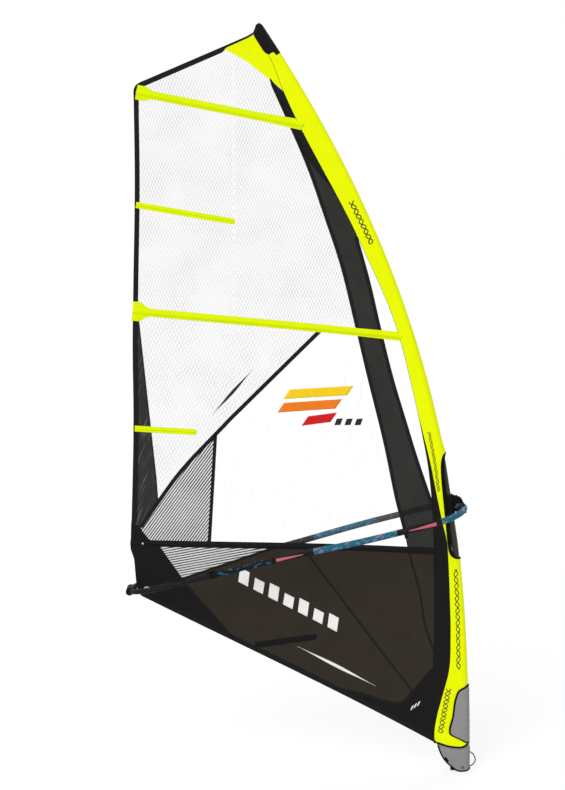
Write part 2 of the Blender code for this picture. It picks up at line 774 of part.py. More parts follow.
def build_tack_fittings():
    """Mast base, its pulleys, and the pulley block that hauls the tack down to it."""
    spigot = MAST_RADIUS - MAST_WALL - TUBE_CLEAR - EXTENSION_WALL - SPIGOT_CLEAR
    profile = [
        (0.0, SPIGOT_HEIGHT), (spigot, SPIGOT_HEIGHT), (spigot, EXTENSION_BASE_TOP),
        (BASE_RADIUS - BASE_CHAMFER, EXTENSION_BASE_TOP),
        (BASE_RADIUS, EXTENSION_BASE_TOP - BASE_CHAMFER), (BASE_RADIUS, BASE_CHAMFER),
        (BASE_RADIUS - BASE_CHAMFER, 0.0), (0.0, 0.0),
    ]
    base = turned("extension_base", profile, Matrix.Identity(4), "black_plastic")
    base_z = BASE_BLOCK_SIZE[2] / 2 + BASE_BLOCK_LOW
    join_with(base, box("base_block", BASE_BLOCK_SIZE, (SHEAVE_X, 0.0, base_z)), "UNION")
    under = SHEAVE_RADIUS + SLOT_UNDER
    for name, side in (("far", 1), ("near", -1)):
        y = side * SHEAVE_OFFSET
        slot = sheave_slot("slot_" + name, y, BASE_SHEAVE_Z, BASE_BLOCK_SIZE[2], under)
        join_with(base, slot, "DIFFERENCE")
    place = sideways(SHEAVE_X, 0.0, BASE_SHEAVE_Z)
    axle = cylinder("base_axle", AXLE_RADIUS, BASE_BLOCK_SIZE[1] - 2 * AXLE_SETBACK, place)
    join_with(base, axle, "UNION")
    for name, side in (("far", 1), ("near", -1)):
        place = sideways(SHEAVE_X, side * SHEAVE_OFFSET, BASE_SHEAVE_Z)
        rope_sheave("base_sheave_" + name, place)
    block_z = TACK_SHEAVE_Z + TACK_BLOCK_RISE
    block = box("tack_block", TACK_BLOCK_SIZE, (SHEAVE_X, 0.0, block_z), "steel")
    slot = sheave_slot("slot_tack", 0.0, TACK_SHEAVE_Z, under, TACK_BLOCK_SIZE[2])
    join_with(block, slot, "DIFFERENCE")
    place = sideways(SHEAVE_X, 0.0, TACK_SHEAVE_Z)
    pin = cylinder("tack_axle", AXLE_RADIUS, TACK_BLOCK_SIZE[1] - 2 * AXLE_SETBACK, place)
    join_with(block, pin, "UNION")
    rope_sheave("tack_sheave", place)
    webbing_low = block_z + TACK_BLOCK_SIZE[2] / 2 + CLEAR
    height = WEBBING_TOP - webbing_low
    size = (WEBBING_WIDTH, WEBBING_THICKNESS, height)
    box("tack_webbing", size, (SHEAVE_X, 0.0, webbing_low + height / 2), "black_cloth")
    build_downhaul_line(block_z - TACK_BLOCK_SIZE[2] / 2 - CLEAR)


def half_turn(x, y, z, radius, start, sweep, count=8):
    """Points of a line round a sheave, from a start angle through a sweep in the XZ plane."""
    angles = [start + sweep * index / count for index in range(count + 1)]
    return [(x + radius * math.cos(a), y, z + radius * math.sin(a)) for a in angles]


def build_downhaul_line(top):
    """Downhaul line: from the block's underside round the base and tack sheaves and back."""
    lay = SHEAVE_GROOVE_RADIUS + LINE_RADIUS + CLEAR
    far = half_turn(SHEAVE_X, SHEAVE_OFFSET, BASE_SHEAVE_Z, lay, 0.0, -math.pi)
    over = half_turn(SHEAVE_X, 0.0, TACK_SHEAVE_Z, lay, math.pi, -math.pi)
    near = half_turn(SHEAVE_X, -SHEAVE_OFFSET, BASE_SHEAVE_Z, lay, 0.0, -math.pi)
    start = (SHEAVE_X + lay, SHEAVE_OFFSET, top)
    end = (SHEAVE_X - lay, -SHEAVE_OFFSET, top)
    rod("downhaul_line", [start] + far + over + near + [end], LINE_RADIUS, "rope", resolution=2)


# Sleeve, head cap, padding and flap
def sleeve_radius(station):
    return mast_radius(station) + TUBE_CLEAR + SLEEVE_WALL


def sleeve_side(station, aft):
    """Half width of the sleeve's outside on its flats, at a distance aft of the mast's centre."""
    radius, depth = sleeve_radius(station), sleeve_depth(station)
    slope = math.asin(radius / math.hypot(depth, SLEEVE_EDGE_HALF)) - math.atan2(SLEEVE_EDGE_HALF, depth)
    return SLEEVE_EDGE_HALF + (depth - aft) * math.tan(slope)


def round_front(station, radius, touch, sides=14):
    """Points of the round front, from one flat's touching angle to the other's."""
    points = []
    for index in range(sides + 1):
        angle = touch + 2 * (math.pi - touch) * index / sides
        points.append(off_mast(station, radius * math.cos(angle), radius * math.sin(angle)))
    return points


def sleeve_ring(station, radius, rear, edge):
    """Section of the sleeve: a round front whose two flats meet at the rear edge."""
    touch = math.acos(radius / math.hypot(rear, edge)) + math.atan2(edge, rear)
    ring = round_front(station, radius, touch)
    ring.append(off_mast(station, rear, -edge))
    ring.append(off_mast(station, rear, edge))
    return ring


def sleeve_rings(stations):
    outer, inner = [], []
    for station in stations:
        radius = sleeve_radius(station)
        depth = sleeve_depth(station)
        outer.append(sleeve_ring(station, radius, depth, SLEEVE_EDGE_HALF))
        rear = depth * (1.0 - SEAM_ALLOWANCE)
        edge = max(sleeve_side(station, rear) - SLEEVE_WALL, SLEEVE_EDGE_HALF / 2)
        inner.append(sleeve_ring(station, radius - SLEEVE_WALL, rear, edge))
    return outer, inner


def build_sleeve():
    """Luff sleeve with the boom opening cut out of its front, and the cap over the mast tip.

    Its hollow ends short of the rear edge, where the two layers of cloth are sewn together.
    """
    outer, inner = sleeve_rings(station_span(SLEEVE_FOOT, HEAD_CAP_START))
    sleeve = loft("luff_sleeve", outer, "neon", inner)
    rows = station_span(CUTOUT_LOW, CUTOUT_HIGH)
    back = [mast_at(s) + CUTOUT_BACK * mast_aft(s) for s in rows]
    front = [mast_at(s) - CUTOUT_REACH * mast_aft(s) for s in rows]
    round_low = mast_at(CUTOUT_LOW - CUTOUT_CROWN) + CUTOUT_CROWN_AFT * mast_aft(CUTOUT_LOW)
    round_high = mast_at(CUTOUT_HIGH + CUTOUT_CROWN) + CUTOUT_CROWN_AFT * mast_aft(CUTOUT_HIGH)
    outline = back + [round_high] + front[::-1] + [round_low]
    upright = Matrix.Rotation(math.pi / 2, 4, "X")
    cutter = flat_piece("boom_opening", outline, 2 * CUTOUT_REACH, matrix=upright)
    join_with(sleeve, as_mesh(cutter), "DIFFERENCE")

    tip = EXTENSION_SETTING + MAST_LENGTH
    outer, _ = sleeve_rings(station_span(HEAD_CAP_START + CLEAR, HEAD_TOP))
    _, inner = sleeve_rings(station_span(HEAD_CAP_START + CLEAR, tip + CAP_ROOM))
    loft("head_cap", outer, "black_cloth", inner, closed_end=True)


def cover_section(station, depth, wall):
    """U-shaped section lying just outside the sleeve, as deep aft as asked."""
    radius = sleeve_radius(station)
    reach = math.hypot(sleeve_depth(station), SLEEVE_EDGE_HALF)
    touch = math.acos(radius / reach) + math.atan2(SLEEVE_EDGE_HALF, sleeve_depth(station))
    rings = []
    for grow in (CLEAR + wall, CLEAR):
        side = sleeve_side(station, depth) + grow / math.sin(touch)
        run = [off_mast(station, depth, side)]
        run += round_front(station, radius + grow, touch)
        run.append(off_mast(station, depth, -side))
        rings.append(run)
    return rings[0] + rings[1][::-1]


def build_pad():
    """Grey pad round the front of the sleeve above the foot."""
    marks = [station for station, _ in PAD_DEPTHS]
    knots = [station for station in STATIONS if marks[0] < station < marks[-1]]
    stations = sorted(marks + knots)
    rings = [cover_section(s, spread(PAD_DEPTHS, s), PAD_THICKNESS) for s in stations]
    loft("tack_pad", rings, "grey_foam")


def flap_section(height, reach, half_width):
    """U-shaped section of the foot flap at a height, its legs reaching aft."""
    sides = 12
    rings = []
    for half in (half_width, half_width - FLAP_WALL):
        run = [(-reach, half, height)]
        for index in range(sides + 1):
            angle = math.pi / 2 - math.pi * index / sides
            run.append((half * math.cos(angle), half * math.sin(angle), height))
        run.append((-reach, -half, height))
        rings.append(run)
    return rings[0] + rings[1][::-1]


def smooth_path(route, count):
    """Points of a smooth curve through a hand-placed route in space."""
    knots = [Vector(place) for place in route]
    knots = [2 * knots[0] - knots[1]] + knots + [2 * knots[-1] - knots[-2]]
    points = []
    for index in range(1, len(knots) - 2):
        before, start, end, after = knots[index - 1:index + 3]
        for step in range(count):
            t = step / count
            bend = 2 * before - 5 * start + 4 * end - after
            twist = -before + 3 * start - 3 * end + after
            points.append(0.5 * (2 * start + t * (end - before) + t * t * bend + t ** 3 * twist))
    points.append(knots[-2])
    return [tuple(point) for point in points]


def build_flap():
    """Flap that closes over the tack pulleys, with its pull loop at the front."""
    rings = [flap_section(height, reach, FLAP_HALF_WIDTH) for height, reach in FLAP_REAR]
    pad_half_width = sleeve_radius(SLEEVE_FOOT) + CLEAR + PAD_THICKNESS
    rings.append(flap_section(SLEEVE_FOOT - FLAP_SEAT_CLEAR, FLAP_TOP_REAR, pad_half_width))
    loft("tack_flap", rings, "grey_foam")
    front = FLAP_HALF_WIDTH + LOOP_RADIUS + CLEAR
    route = [(front + reach, 0.0, z) for reach, z in LOOP_ROUTE]
    rod("flap_pull_loop", smooth_path(route, 4), LOOP_RADIUS, "rope", resolution=2)


# Sail cloth
LEECH_OUT = (LEECH_HEAD, LEECH_LOW)
LEECH_IN = tuple((x + LEECH_TAPE_WIDTH, z) for x, z in LEECH_OUT)
TOP_OUT = (LEECH_HEAD, HEAD_AFT)
TOP_IN = beside(TOP_OUT, -TOP_TAPE_WIDTH)
FOOT_OUT = (CLEW_FOOT, TACK_FOOT)
FOOT_IN = beside(FOOT_OUT, FOOT_TAPE_WIDTH)


def level(z):
    """Horizontal line at a height."""
    return ((-2.0, z), (1.0, z))


def diagonal_path():
    """Diagonal seam from the middle batten down to the clew patch."""
    return [on_line(BATTEN_MID, DIAGONAL_TOP_X)] + list(DIAGONAL)


def luff_window_path():
    """Aft border of the clear window behind the sleeve."""
    return [rear_at(LUFF_WINDOW_HIGH)] + list(LUFF_WINDOW_AFT) + [rear_at(LUFF_WINDOW_LOW)]


def rear_path(high, low):
    """Sleeve's rear edge from a high station to a low one."""
    return [rear_at(station) for station in reversed(station_span(low, high))]


def build_upper_panels():
    """Panels above the lowest batten."""
    diagonal = diagonal_path()
    window_edge = luff_window_path()
    head_border = [cross(TOP_IN, (HEAD_PATCH_BORDER[0], (HEAD_PATCH_BORDER[0][0], 0.0)))]
    head_border += list(HEAD_PATCH_BORDER[1:])
    rear_top = path_between(LUFF_EDGE, TOP_IN, level(HEAD_PATCH_LUFF_Z))
    sail_sheet("head_patch", rear_top + head_border[::-1], PATCH, "neon")

    panel_top = path_between(LUFF_PANEL_AFT, level(LUFF_PANEL_AFT[0][1]), BATTEN_HEAD)
    top = [cross(LEECH_IN, TOP_IN)] + head_border + panel_top[1:] + [cross(LEECH_IN, BATTEN_HEAD)]
    sail_sheet("top_panel", top, FILM, "film")

    aft = path_between(LUFF_PANEL_AFT, BATTEN_HEAD, BATTEN_MID)
    upper = [cross(LEECH_IN, BATTEN_HEAD)] + aft + [cross(LEECH_IN, BATTEN_MID)]
    sail_sheet("upper_panel", upper, FILM, "film")

    panel = path_between(LUFF_PANEL_AFT, level(LUFF_PANEL_AFT[0][1]), BATTEN_LOW)
    rear_high = path_between(REAR, level(rear_top[-1][1]), level(window_edge[0][1]))
    rear_low = path_between(REAR, level(window_edge[-1][1]), BATTEN_LOW)
    luff_panel = rear_high + window_edge[1:-1] + rear_low + panel[::-1]
    sail_sheet("luff_panel", luff_panel, FILM, "smoke")
    window_rear = path_between(REAR, level(window_edge[0][1]), level(window_edge[-1][1]))
    sail_sheet("luff_window", window_rear + window_edge[1:-1][::-1], FILM, "film")

    leech_top = cross(LEECH_IN, level(LEECH_PANEL_TOP_Z))
    mid = [cross(LEECH_IN, BATTEN_MID)] + diagonal[:-1] + [LEECH_PANEL_BORDER, leech_top]
    sail_sheet("mid_panel", mid, FILM, "film")
    leech_low = cross(LEECH_IN, level(CLEW_PATCH_TOP_Z))
    leech = [leech_top, LEECH_PANEL_BORDER, diagonal[-2], CLEW_PATCH_UPPER[0], leech_low]
    sail_sheet("leech_panel", leech, FILM, "smoke")

    seam_foot = on_line(BATTEN_LOW, VERTICAL_SEAM_FOOT_X)
    seam_head = vertical_seam_head()
    aft = path_between(LUFF_PANEL_AFT, BATTEN_MID, BATTEN_LOW)
    window = [diagonal[0]] + aft + [seam_foot, seam_head, diagonal[1]]
    sail_sheet("window_panel", window, FILM, "film")
    clew_corner = on_line(BATTEN_LOW, CLEW_PATCH_X)
    mesh = [seam_head, seam_foot, clew_corner] + list(CLEW_PATCH_UPPER[::-1]) + diagonal[-2:1:-1]
    sail_sheet("mesh_panel_upper", mesh, FILM, "smoke")


def vertical_seam_head():
    """Where the vertical seam meets the diagonal one."""
    return cross((DIAGONAL[0], DIAGONAL[1]), (VERTICAL_SEAM_HEAD, on_line(BATTEN_LOW, VERTICAL_SEAM_FOOT_X)))


def build_lower_panels():
    """Clew patch, foot panels and tack patch."""
    clew_corner = on_line(BATTEN_LOW, CLEW_PATCH_X)
    clew_foot = on_line(FOOT_IN, CLEW_PATCH_FOOT_X)
    leech_low = cross(LEECH_OUT, level(CLEW_PATCH_TOP_Z))
    clew_end = cross(FOOT_IN, (CLEW_AFT, CLEW_FOOT))
    clew = [leech_low] + list(CLEW_PATCH_UPPER) + [clew_corner] + list(CLEW_PATCH_LOWER)
    clew += [clew_foot, clew_end, CLEW_AFT, LEECH_LOW]
    patch = sail_sheet("clew_patch", clew, PATCH, "black_cloth")
    centre = (EYELET[0], belly(*EYELET), EYELET[1])
    hole = cylinder("eyelet_hole", EYELET_NECK + CLEAR, EYELET_FLANGE, sideways(*centre))
    join_with(patch, hole, "DIFFERENCE")
    neck = PATCH / 2 + 2 * CLEAR
    flange = neck + EYELET_FLANGE_THICKNESS
    profile = [
        (EYELET_FLANGE, flange), (EYELET_FLANGE, neck), (EYELET_NECK, neck),
        (EYELET_NECK, -neck), (EYELET_FLANGE, -neck), (EYELET_FLANGE, -flange),
        (EYELET_BORE, -flange), (EYELET_BORE, flange),
    ]
    turned("clew_eyelet", profile, sideways(*centre), "steel")

    mesh_tip = on_line(BATTEN_LOW, MESH_TIP_X)
    sail_sheet("mesh_panel_lower", [clew_corner, mesh_tip, CLEW_PATCH_LOWER[0]], FILM, "smoke")

    seam_aft = [on_line(BATTEN_LOW, FOOT_SEAM_AFT_TOP_X)] + list(FOOT_SEAM_AFT) + [TACK_PATCH[0]]
    seam_fore = [on_line(BATTEN_LOW, FOOT_SEAM_FORE_TOP_X)] + list(FOOT_SEAM_FORE)
    seam_fore.append(rear_at(FOOT_SEAM_FORE_LOW))
    tack_end = on_line(FOOT_IN, TACK_PATCH_FOOT_X)
    aft = [mesh_tip] + seam_aft + list(TACK_PATCH[1:]) + [tack_end, clew_foot]
    aft += list(CLEW_PATCH_LOWER[::-1])
    sail_sheet("foot_panel_aft", aft, FILM, "foot_cloth")
    low_rear = rear_path(FOOT_SEAM_FORE_LOW, TACK_PATCH_LUFF)
    sail_sheet("foot_panel_mid", seam_fore + low_rear[1:] + seam_aft[::-1], FILM, "foot_cloth")
    high_rear = path_between(REAR, BATTEN_LOW, level(seam_fore[-1][1]))
    fore = high_rear + seam_fore[-2::-1]
    sail_sheet("foot_panel_fore", fore, FILM, "foot_cloth")
    patch_rear = path_between(REAR, level(rear_at(TACK_PATCH_LUFF)[1]), FOOT_IN)
    tack = patch_rear + [tack_end] + list(TACK_PATCH[::-1])
    sail_sheet("tack_patch", tack, PATCH, "black_cloth")


def build_tapes():
    """Edge tapes, and the tapes over the two heavy seams."""
    leech_low_in = cross(LEECH_IN, level(CLEW_PATCH_TOP_Z))
    leech_low_out = cross(LEECH_OUT, level(CLEW_PATCH_TOP_Z))
    top_end_in = path_between(LUFF_EDGE, TOP_IN, level(3.5))[0]
    top_end_out = path_between(LUFF_EDGE, TOP_OUT, level(3.5))[0]
    rear = [place for place in LUFF_EDGE if top_end_in[1] + 0.004 < place[1] < top_end_out[1] - 0.004]
    edge = [LEECH_HEAD, top_end_out] + rear + [top_end_in, cross(LEECH_IN, TOP_IN)]
    edge += [leech_low_in, leech_low_out]
    sail_sheet("edge_tape", edge, TAPE, "black_cloth")
    foot_rear = path_between(REAR, FOOT_IN, level(SLEEVE_FOOT + 0.006))
    foot = [cross(FOOT_IN, (CLEW_AFT, CLEW_FOOT)), CLEW_FOOT]
    foot += [cross(FOOT_OUT, (foot_rear[-1], (foot_rear[-1][0], 0.0))), foot_rear[-1]]
    sail_sheet("foot_tape", foot + foot_rear[-2::-1], TAPE, "black_cloth")

    lift = TAPE / 2 + CLEAR + FILM / 2
    diagonal = diagonal_path()
    under_pocket = beside(BATTEN_MID, -POCKET_WIDTH / 2 - DIAGONAL_TAPE_WIDTH)
    start = cross((diagonal[0], diagonal[1]), under_pocket)
    band = strip([start] + diagonal[1:-1], DIAGONAL_TAPE_WIDTH)
    sail_sheet("diagonal_seam_tape", band, FILM, "black_cloth", lift, gap=0.0)
    foot_end = on_line(BATTEN_LOW, VERTICAL_SEAM_FOOT_X)
    head = vertical_seam_head()
    low = cross((head, foot_end), beside(BATTEN_LOW, POCKET_WIDTH / 2 + SEAM_GAP))
    high = cross((head, foot_end), beside((DIAGONAL[0], DIAGONAL[1]), DIAGONAL_TAPE_WIDTH))
    band = strip([high, low], VERTICAL_TAPE_WIDTH)
    sail_sheet("vertical_seam_tape", band, FILM, "black_cloth", lift, gap=0.0)


def along_batten(line, start, end):
    """Part of a batten line, from a distance off its leech end to one off its luff end."""
    first = Vector(line[0])
    run = (Vector(line[1]) - first).normalized()
    length = pocket_length(line)
    return [tuple(first + run * start), tuple(first + run * (length - end))]


def pocket_length(line):
    """Length of a pocket whose square end just clears the sleeve's rear edge."""
    first = Vector(line[0])
    run = (Vector(line[1]) - first).normalized()
    reaches = []
    for side in (-POCKET_WIDTH / 2, 0.0, POCKET_WIDTH / 2):
        edge = beside(line, side)
        for pair in zip(REAR, REAR[1:]):
            place = cross(edge, pair)
            if pair[1][1] <= place[1] <= pair[0][1]:
                reaches.append((Vector(place) - first).dot(run))
    return min(reaches) - SEAM_GAP


def build_batten(name, line, finish):
    """Long batten: its rod in a flat pocket on the near side, with a tensioning screw."""
    lift = TAPE / 2 + CLEAR + POCKET_HEIGHT / 2
    pocket = sail_sheet(
        name + "_pocket", strip(along_batten(line, 0.0, 0.0), POCKET_WIDTH),
        POCKET_HEIGHT, finish, lift, gap=0.0,
    )
    room = strip(along_batten(line, -POCKET_LUFF_END, POCKET_LUFF_END), BATTEN_WIDTH + 2 * CLEAR)
    hollow = POCKET_HEIGHT - 2 * POCKET_WALL
    channel = sail_sheet(name + "_channel", room, hollow, None, lift, gap=0.0)
    join_with(pocket, channel, "DIFFERENCE")
    blade = strip(along_batten(line, TENSIONER_LENGTH, POCKET_LUFF_END + CLEAR), BATTEN_WIDTH)
    sail_sheet(name, blade, hollow - 2 * CLEAR, "glass_rod", lift, gap=0.0)

    run = (Vector(line[1]) - Vector(line[0])).normalized()
    first = Vector(line[0])
    middle = first + run * (TENSIONER_LENGTH - CLEAR) / 2
    ends = [first + run * share for share in (0.0, TENSIONER_LENGTH)]
    rise = belly(*ends[1]) - belly(*ends[0])
    direction = Vector((run.x * TENSIONER_LENGTH, rise, run.y * TENSIONER_LENGTH)).normalized()
    turn = direction.to_track_quat("Z", "Y").to_matrix().to_4x4()
    centre = Vector((middle.x, belly(middle.x, middle.y) - lift, middle.y))
    place = Matrix.Translation(centre) @ turn
    cylinder(name + "_screw", SCREW_RADIUS, TENSIONER_LENGTH - 2 * CLEAR, place, "steel", sides=12)


def build_battens():
    build_batten("batten_head", BATTEN_HEAD, "neon")
    build_batten("batten_mid", BATTEN_MID, "neon")
    build_batten("batten_low", BATTEN_LOW, "black_cloth")
    lift = TAPE / 2 + CLEAR + MINI_HEIGHT / 2
    short = (
        ("mini_batten_high", MINI_BATTEN_HIGH, "neon"),
        ("mini_batten_low", MINI_BATTEN_LOW, "neon"),
        ("foot_batten", FOOT_BATTEN, "black_cloth"),
    )
    for name, line, finish in short:
        sail_sheet(name, strip(list(line), MINI_WIDTH), MINI_HEIGHT, finish, lift, gap=0.0)


# Boom
def boom_half_width(distance):
    """Half width of the wishbone at a distance aft of its front, up to the straight tail."""
    if distance < BOOM_NOSE_LENGTH:
        return BOOM_HALF_WIDTH * math.sqrt(1.0 - (1.0 - distance / BOOM_NOSE_LENGTH) ** 2)
    share = (distance - BOOM_SHOULDER) / (BOOM_STRAIGHT_START - BOOM_SHOULDER)
    share = min(max(share, 0.0), 1.0)
    ease = 0.5 + 0.5 * math.cos(math.pi * share)
    return BOOM_TAIL_HALF_WIDTH + (BOOM_HALF_WIDTH - BOOM_TAIL_HALF_WIDTH) * ease


def arm_distances(end):
    """Distances aft of the front where the arm has points, dense round the nose."""
    steps = 8
    turns = [math.pi / 2 * step / steps for step in range(1, steps + 1)]
    nose = [BOOM_NOSE_LENGTH * (1.0 - math.cos(turn)) for turn in turns]
    run = GRIP_END - BOOM_SHOULDER
    shoulder = [BOOM_SHOULDER + run * i / SHOULDER_STEPS for i in range(SHOULDER_STEPS + 1)]
    return [d for d in nose + shoulder + [BOOM_STRAIGHT_START] if d < end - 0.001] + [end]


def wishbone(end):
    """Path of the wishbone from one arm's end round the nose to the other's."""
    arm = [(BOOM_FRONT - d, boom_half_width(d), 0.0) for d in arm_distances(end)]
    mirrored = [(x, -y, z) for x, y, z in arm]
    return arm[::-1] + [(BOOM_FRONT, 0.0, 0.0)] + mirrored


def tail_path():
    """Path of the tail piece: two straight legs and a half oval behind the clew."""
    steps = 8
    start = BOOM_LENGTH - TAIL_BEND_LENGTH
    leg = [(BOOM_FRONT - TAIL_INSERT_START, BOOM_TAIL_HALF_WIDTH, 0.0)]
    bend = []
    for index in range(steps + 1):
        angle = math.pi / 2 * index / steps
        x = BOOM_FRONT - start - TAIL_BEND_LENGTH * math.sin(angle)
        bend.append((x, BOOM_TAIL_HALF_WIDTH * math.cos(angle), 0.0))
    near = [(x, -y, z) for x, y, z in (leg + bend)[-2::-1]]
    return leg + bend + near


def crosswise(x, y, z):
    """Placement whose Z axis runs along the boom frame's Y axis."""
    return Matrix.Translation((x, y, z)) @ Matrix.Rotation(math.pi / 2, 4, "X")


def build_boom(boom):
    """Wishbone body with its rear clips, the grip over it, and the boom head at its nose."""
    tube = rod("boom_body", wishbone(BOOM_BODY_END), BOOM_RADIUS, parent=boom, wall=BOOM_WALL)
    body = as_mesh(tube, "black_plastic")
    for name, side in (("far", 1), ("near", -1)):
        inner = BOOM_RADIUS - BOOM_WALL / 2
        profile = [
            (CLIP_RADIUS, CLIP_LENGTH / 2), (CLIP_RADIUS, -CLIP_LENGTH / 2),
            (inner, -CLIP_LENGTH / 2), (inner, CLIP_LENGTH / 2),
        ]
        x = BOOM_FRONT - BOOM_BODY_END + CLIP_LENGTH / 2 + CLIP_SETBACK
        place = Matrix.Translation((x, side * BOOM_TAIL_HALF_WIDTH, 0.0))
        place = place @ Matrix.Rotation(math.pi / 2, 4, "Y")
        join_with(body, turned("clip_" + name, profile, place, None, boom), "UNION")
        build_clip_lever(boom, name, side, x)
    grip_inner = BOOM_RADIUS + TUBE_CLEAR
    rod("boom_grip", wishbone(GRIP_END), grip_inner + GRIP_WALL, "grip_blue", boom, wall=GRIP_WALL)
    build_boom_head(boom)


def stadium(length, thickness, steps=6):
    """Outline of a lever: a rounded end at the origin and a square one along +X."""
    half = thickness / 2
    outline = [(length, half)]
    for index in range(steps + 1):
        angle = math.pi / 2 + math.pi * index / steps
        outline.append((half * math.cos(angle), half * math.sin(angle)))
    outline.append((length, -half))
    return outline


def build_clip_lever(boom, name, side, x):
    """Locking lever on top of a rear clip, hinged at its front end."""
    z = CLIP_RADIUS + CLEAR + CLIP_LEVER_THICKNESS / 2
    place = Matrix.Translation((x + CLIP_LENGTH / 2 - CLIP_LEVER_SETBACK, side * BOOM_TAIL_HALF_WIDTH, z))
    turn = Matrix.Rotation(math.pi, 4, "Z") @ Matrix.Rotation(math.pi / 2, 4, "X")
    outline = stadium(CLIP_LEVER_LENGTH, CLIP_LEVER_THICKNESS)
    flat_piece("clip_lever_" + name, outline, CLIP_LEVER_WIDTH, "black_plastic", boom, place @ turn)


def build_boom_head(boom):
    """Moulded saddle behind the wishbone's nose, with two ears and the pin that it tilts on."""
    front = BOOM_FRONT
    head = cylinder("boom_head", HEAD_RADIUS, HEAD_WIDTH, crosswise(front, 0.0, 0.0), "black_plastic", boom)
    grip_radius = BOOM_RADIUS + TUBE_CLEAR + GRIP_WALL
    room = rod("nose_room", wishbone(GRIP_END), grip_radius + TUBE_CLEAR, parent=boom)
    ear_start = HEAD_PIVOT - HEAD_EAR_END
    for name, side in (("far", 1), ("near", -1)):
        y = side * (HEAD_LUG_HALF + CLEAR + HEAD_EAR_THICKNESS / 2)
        size = (front - ear_start, HEAD_EAR_THICKNESS, HEAD_EAR_HEIGHT)
        ear = box("ear_" + name, size, ((front + ear_start) / 2, y, 0.0), None, boom)
        join_with(head, ear, "UNION")
    join_with(head, as_mesh(room), "DIFFERENCE")
    depth = 2 * HEAD_RADIUS
    centre = (front + HEAD_SADDLE_LIP + depth / 2, 0.0, 0.0)
    mouth = box("saddle_mouth", (depth, 2 * HEAD_WIDTH, 2 * depth), centre, None, boom)
    join_with(head, mouth, "DIFFERENCE")
    length = 2 * (HEAD_LUG_HALF + CLEAR + HEAD_EAR_THICKNESS / 2)
    pin = cylinder("head_pin", HEAD_PIN_RADIUS, length, crosswise(HEAD_PIVOT, 0.0, 0.0), None, boom)
    join_with(head, pin, "UNION")


def build_clamp(clamp, boom):
    """Clamp round the mast with a lug for the boom head's pin and its closing lever."""
    bore = MAST_RADIUS + CLAMP_BORE_CLEAR
    profile = [
        (CLAMP_RADIUS - CLAMP_CHAMFER, CLAMP_TOP), (CLAMP_RADIUS, CLAMP_TOP - CLAMP_CHAMFER),
        (CLAMP_RADIUS, CLAMP_BOTTOM + CLAMP_CHAMFER), (CLAMP_RADIUS - CLAMP_CHAMFER, CLAMP_BOTTOM),
        (bore, CLAMP_BOTTOM), (bore, CLAMP_TOP),
    ]
    ring = turned("mast_clamp", profile, Matrix.Identity(4), "black_plastic", clamp, steps=24)
    bpy.context.view_layer.update()
    pivot = clamp.matrix_world.inverted() @ boom.matrix_world @ Vector((HEAD_PIVOT, 0.0, 0.0))
    root = bore + CLAMP_LUG_ROOT
    reach = pivot.x + HEAD_PIN_RADIUS + CLAMP_LUG_END - root
    size = (reach, 2 * HEAD_LUG_HALF, CLAMP_LUG_HEIGHT)
    lug = box("clamp_lug", size, (root + reach / 2, 0.0, pivot.z), None, clamp)
    join_with(ring, lug, "UNION")
    hole = cylinder("lug_hole", HEAD_PIN_RADIUS + CLEAR, 4 * HEAD_LUG_HALF, crosswise(*pivot), None, clamp)
    join_with(ring, hole, "DIFFERENCE")
    x = CLAMP_RADIUS + CLEAR + LEVER_THICKNESS / 2
    place = Matrix.Translation((x, 0.0, LEVER_PIVOT_Z)) @ Matrix.Rotation(math.pi / 2, 4, "Y")
    turn = place @ Matrix.Rotation(math.pi / 2, 4, "X")
    outline = stadium(LEVER_LENGTH, LEVER_THICKNESS)
    flat_piece("clamp_lever", outline, LEVER_WIDTH, "black_plastic", clamp, turn)


def build_tail(boom):
    """Tail piece that slides in the arms, its moulded end, and the outhaul sheaves."""
    rod("boom_tail", tail_path(), TAIL_RADIUS, "black_plastic", boom, wall=TAIL_WALL)
    x = BOOM_FRONT - BOOM_LENGTH
    end = cylinder("tail_end", TAIL_END_RADIUS, TAIL_END_WIDTH, crosswise(x, 0.0, 0.0), "black_plastic", boom)
    axle_x = x + OUTHAUL_SHEAVE_FORWARD
    width = SHEAVE_WIDTH + 2 * CLEAR
    cheek_height = width + 2 * CHEEK_THICKNESS
    for name, side in (("far", 1), ("near", -1)):
        y = side * OUTHAUL_SHEAVE_OFFSET
        length = OUTHAUL_SHEAVE_FORWARD + CHEEK_REACH
        size = (length, CHEEK_WIDTH, cheek_height)
        cheek = box("cheek_" + name, size, (x + length / 2, y, 0.0), None, boom)
        join_with(end, cheek, "UNION")
    for name, side in (("far", 1), ("near", -1)):
        y = side * OUTHAUL_SHEAVE_OFFSET
        length = 2 * (OUTHAUL_SHEAVE_RADIUS + OUTHAUL_ROOM)
        room = box("room_" + name, (length, length + CHEEK_WIDTH, width), (axle_x, y, 0.0), None, boom)
        join_with(end, room, "DIFFERENCE")
    path = tail_path()
    bore = as_mesh(rod("tail_bore", path, TAIL_RADIUS + TUBE_CLEAR, parent=boom))
    join_with(end, bore, "DIFFERENCE")
    for name, side in (("far", 1), ("near", -1)):
        place = Matrix.Translation((axle_x, side * OUTHAUL_SHEAVE_OFFSET, 0.0))
        axle = cylinder("outhaul_axle_" + name, AXLE_RADIUS, cheek_height - AXLE_SETBACK, place, None, boom)
        join_with(end, axle, "UNION")
        sheave("outhaul_sheave_" + name, OUTHAUL_SHEAVE_RADIUS, OUTHAUL_GROOVE_RADIUS, place, boom)
    build_outhaul_line(boom, axle_x)


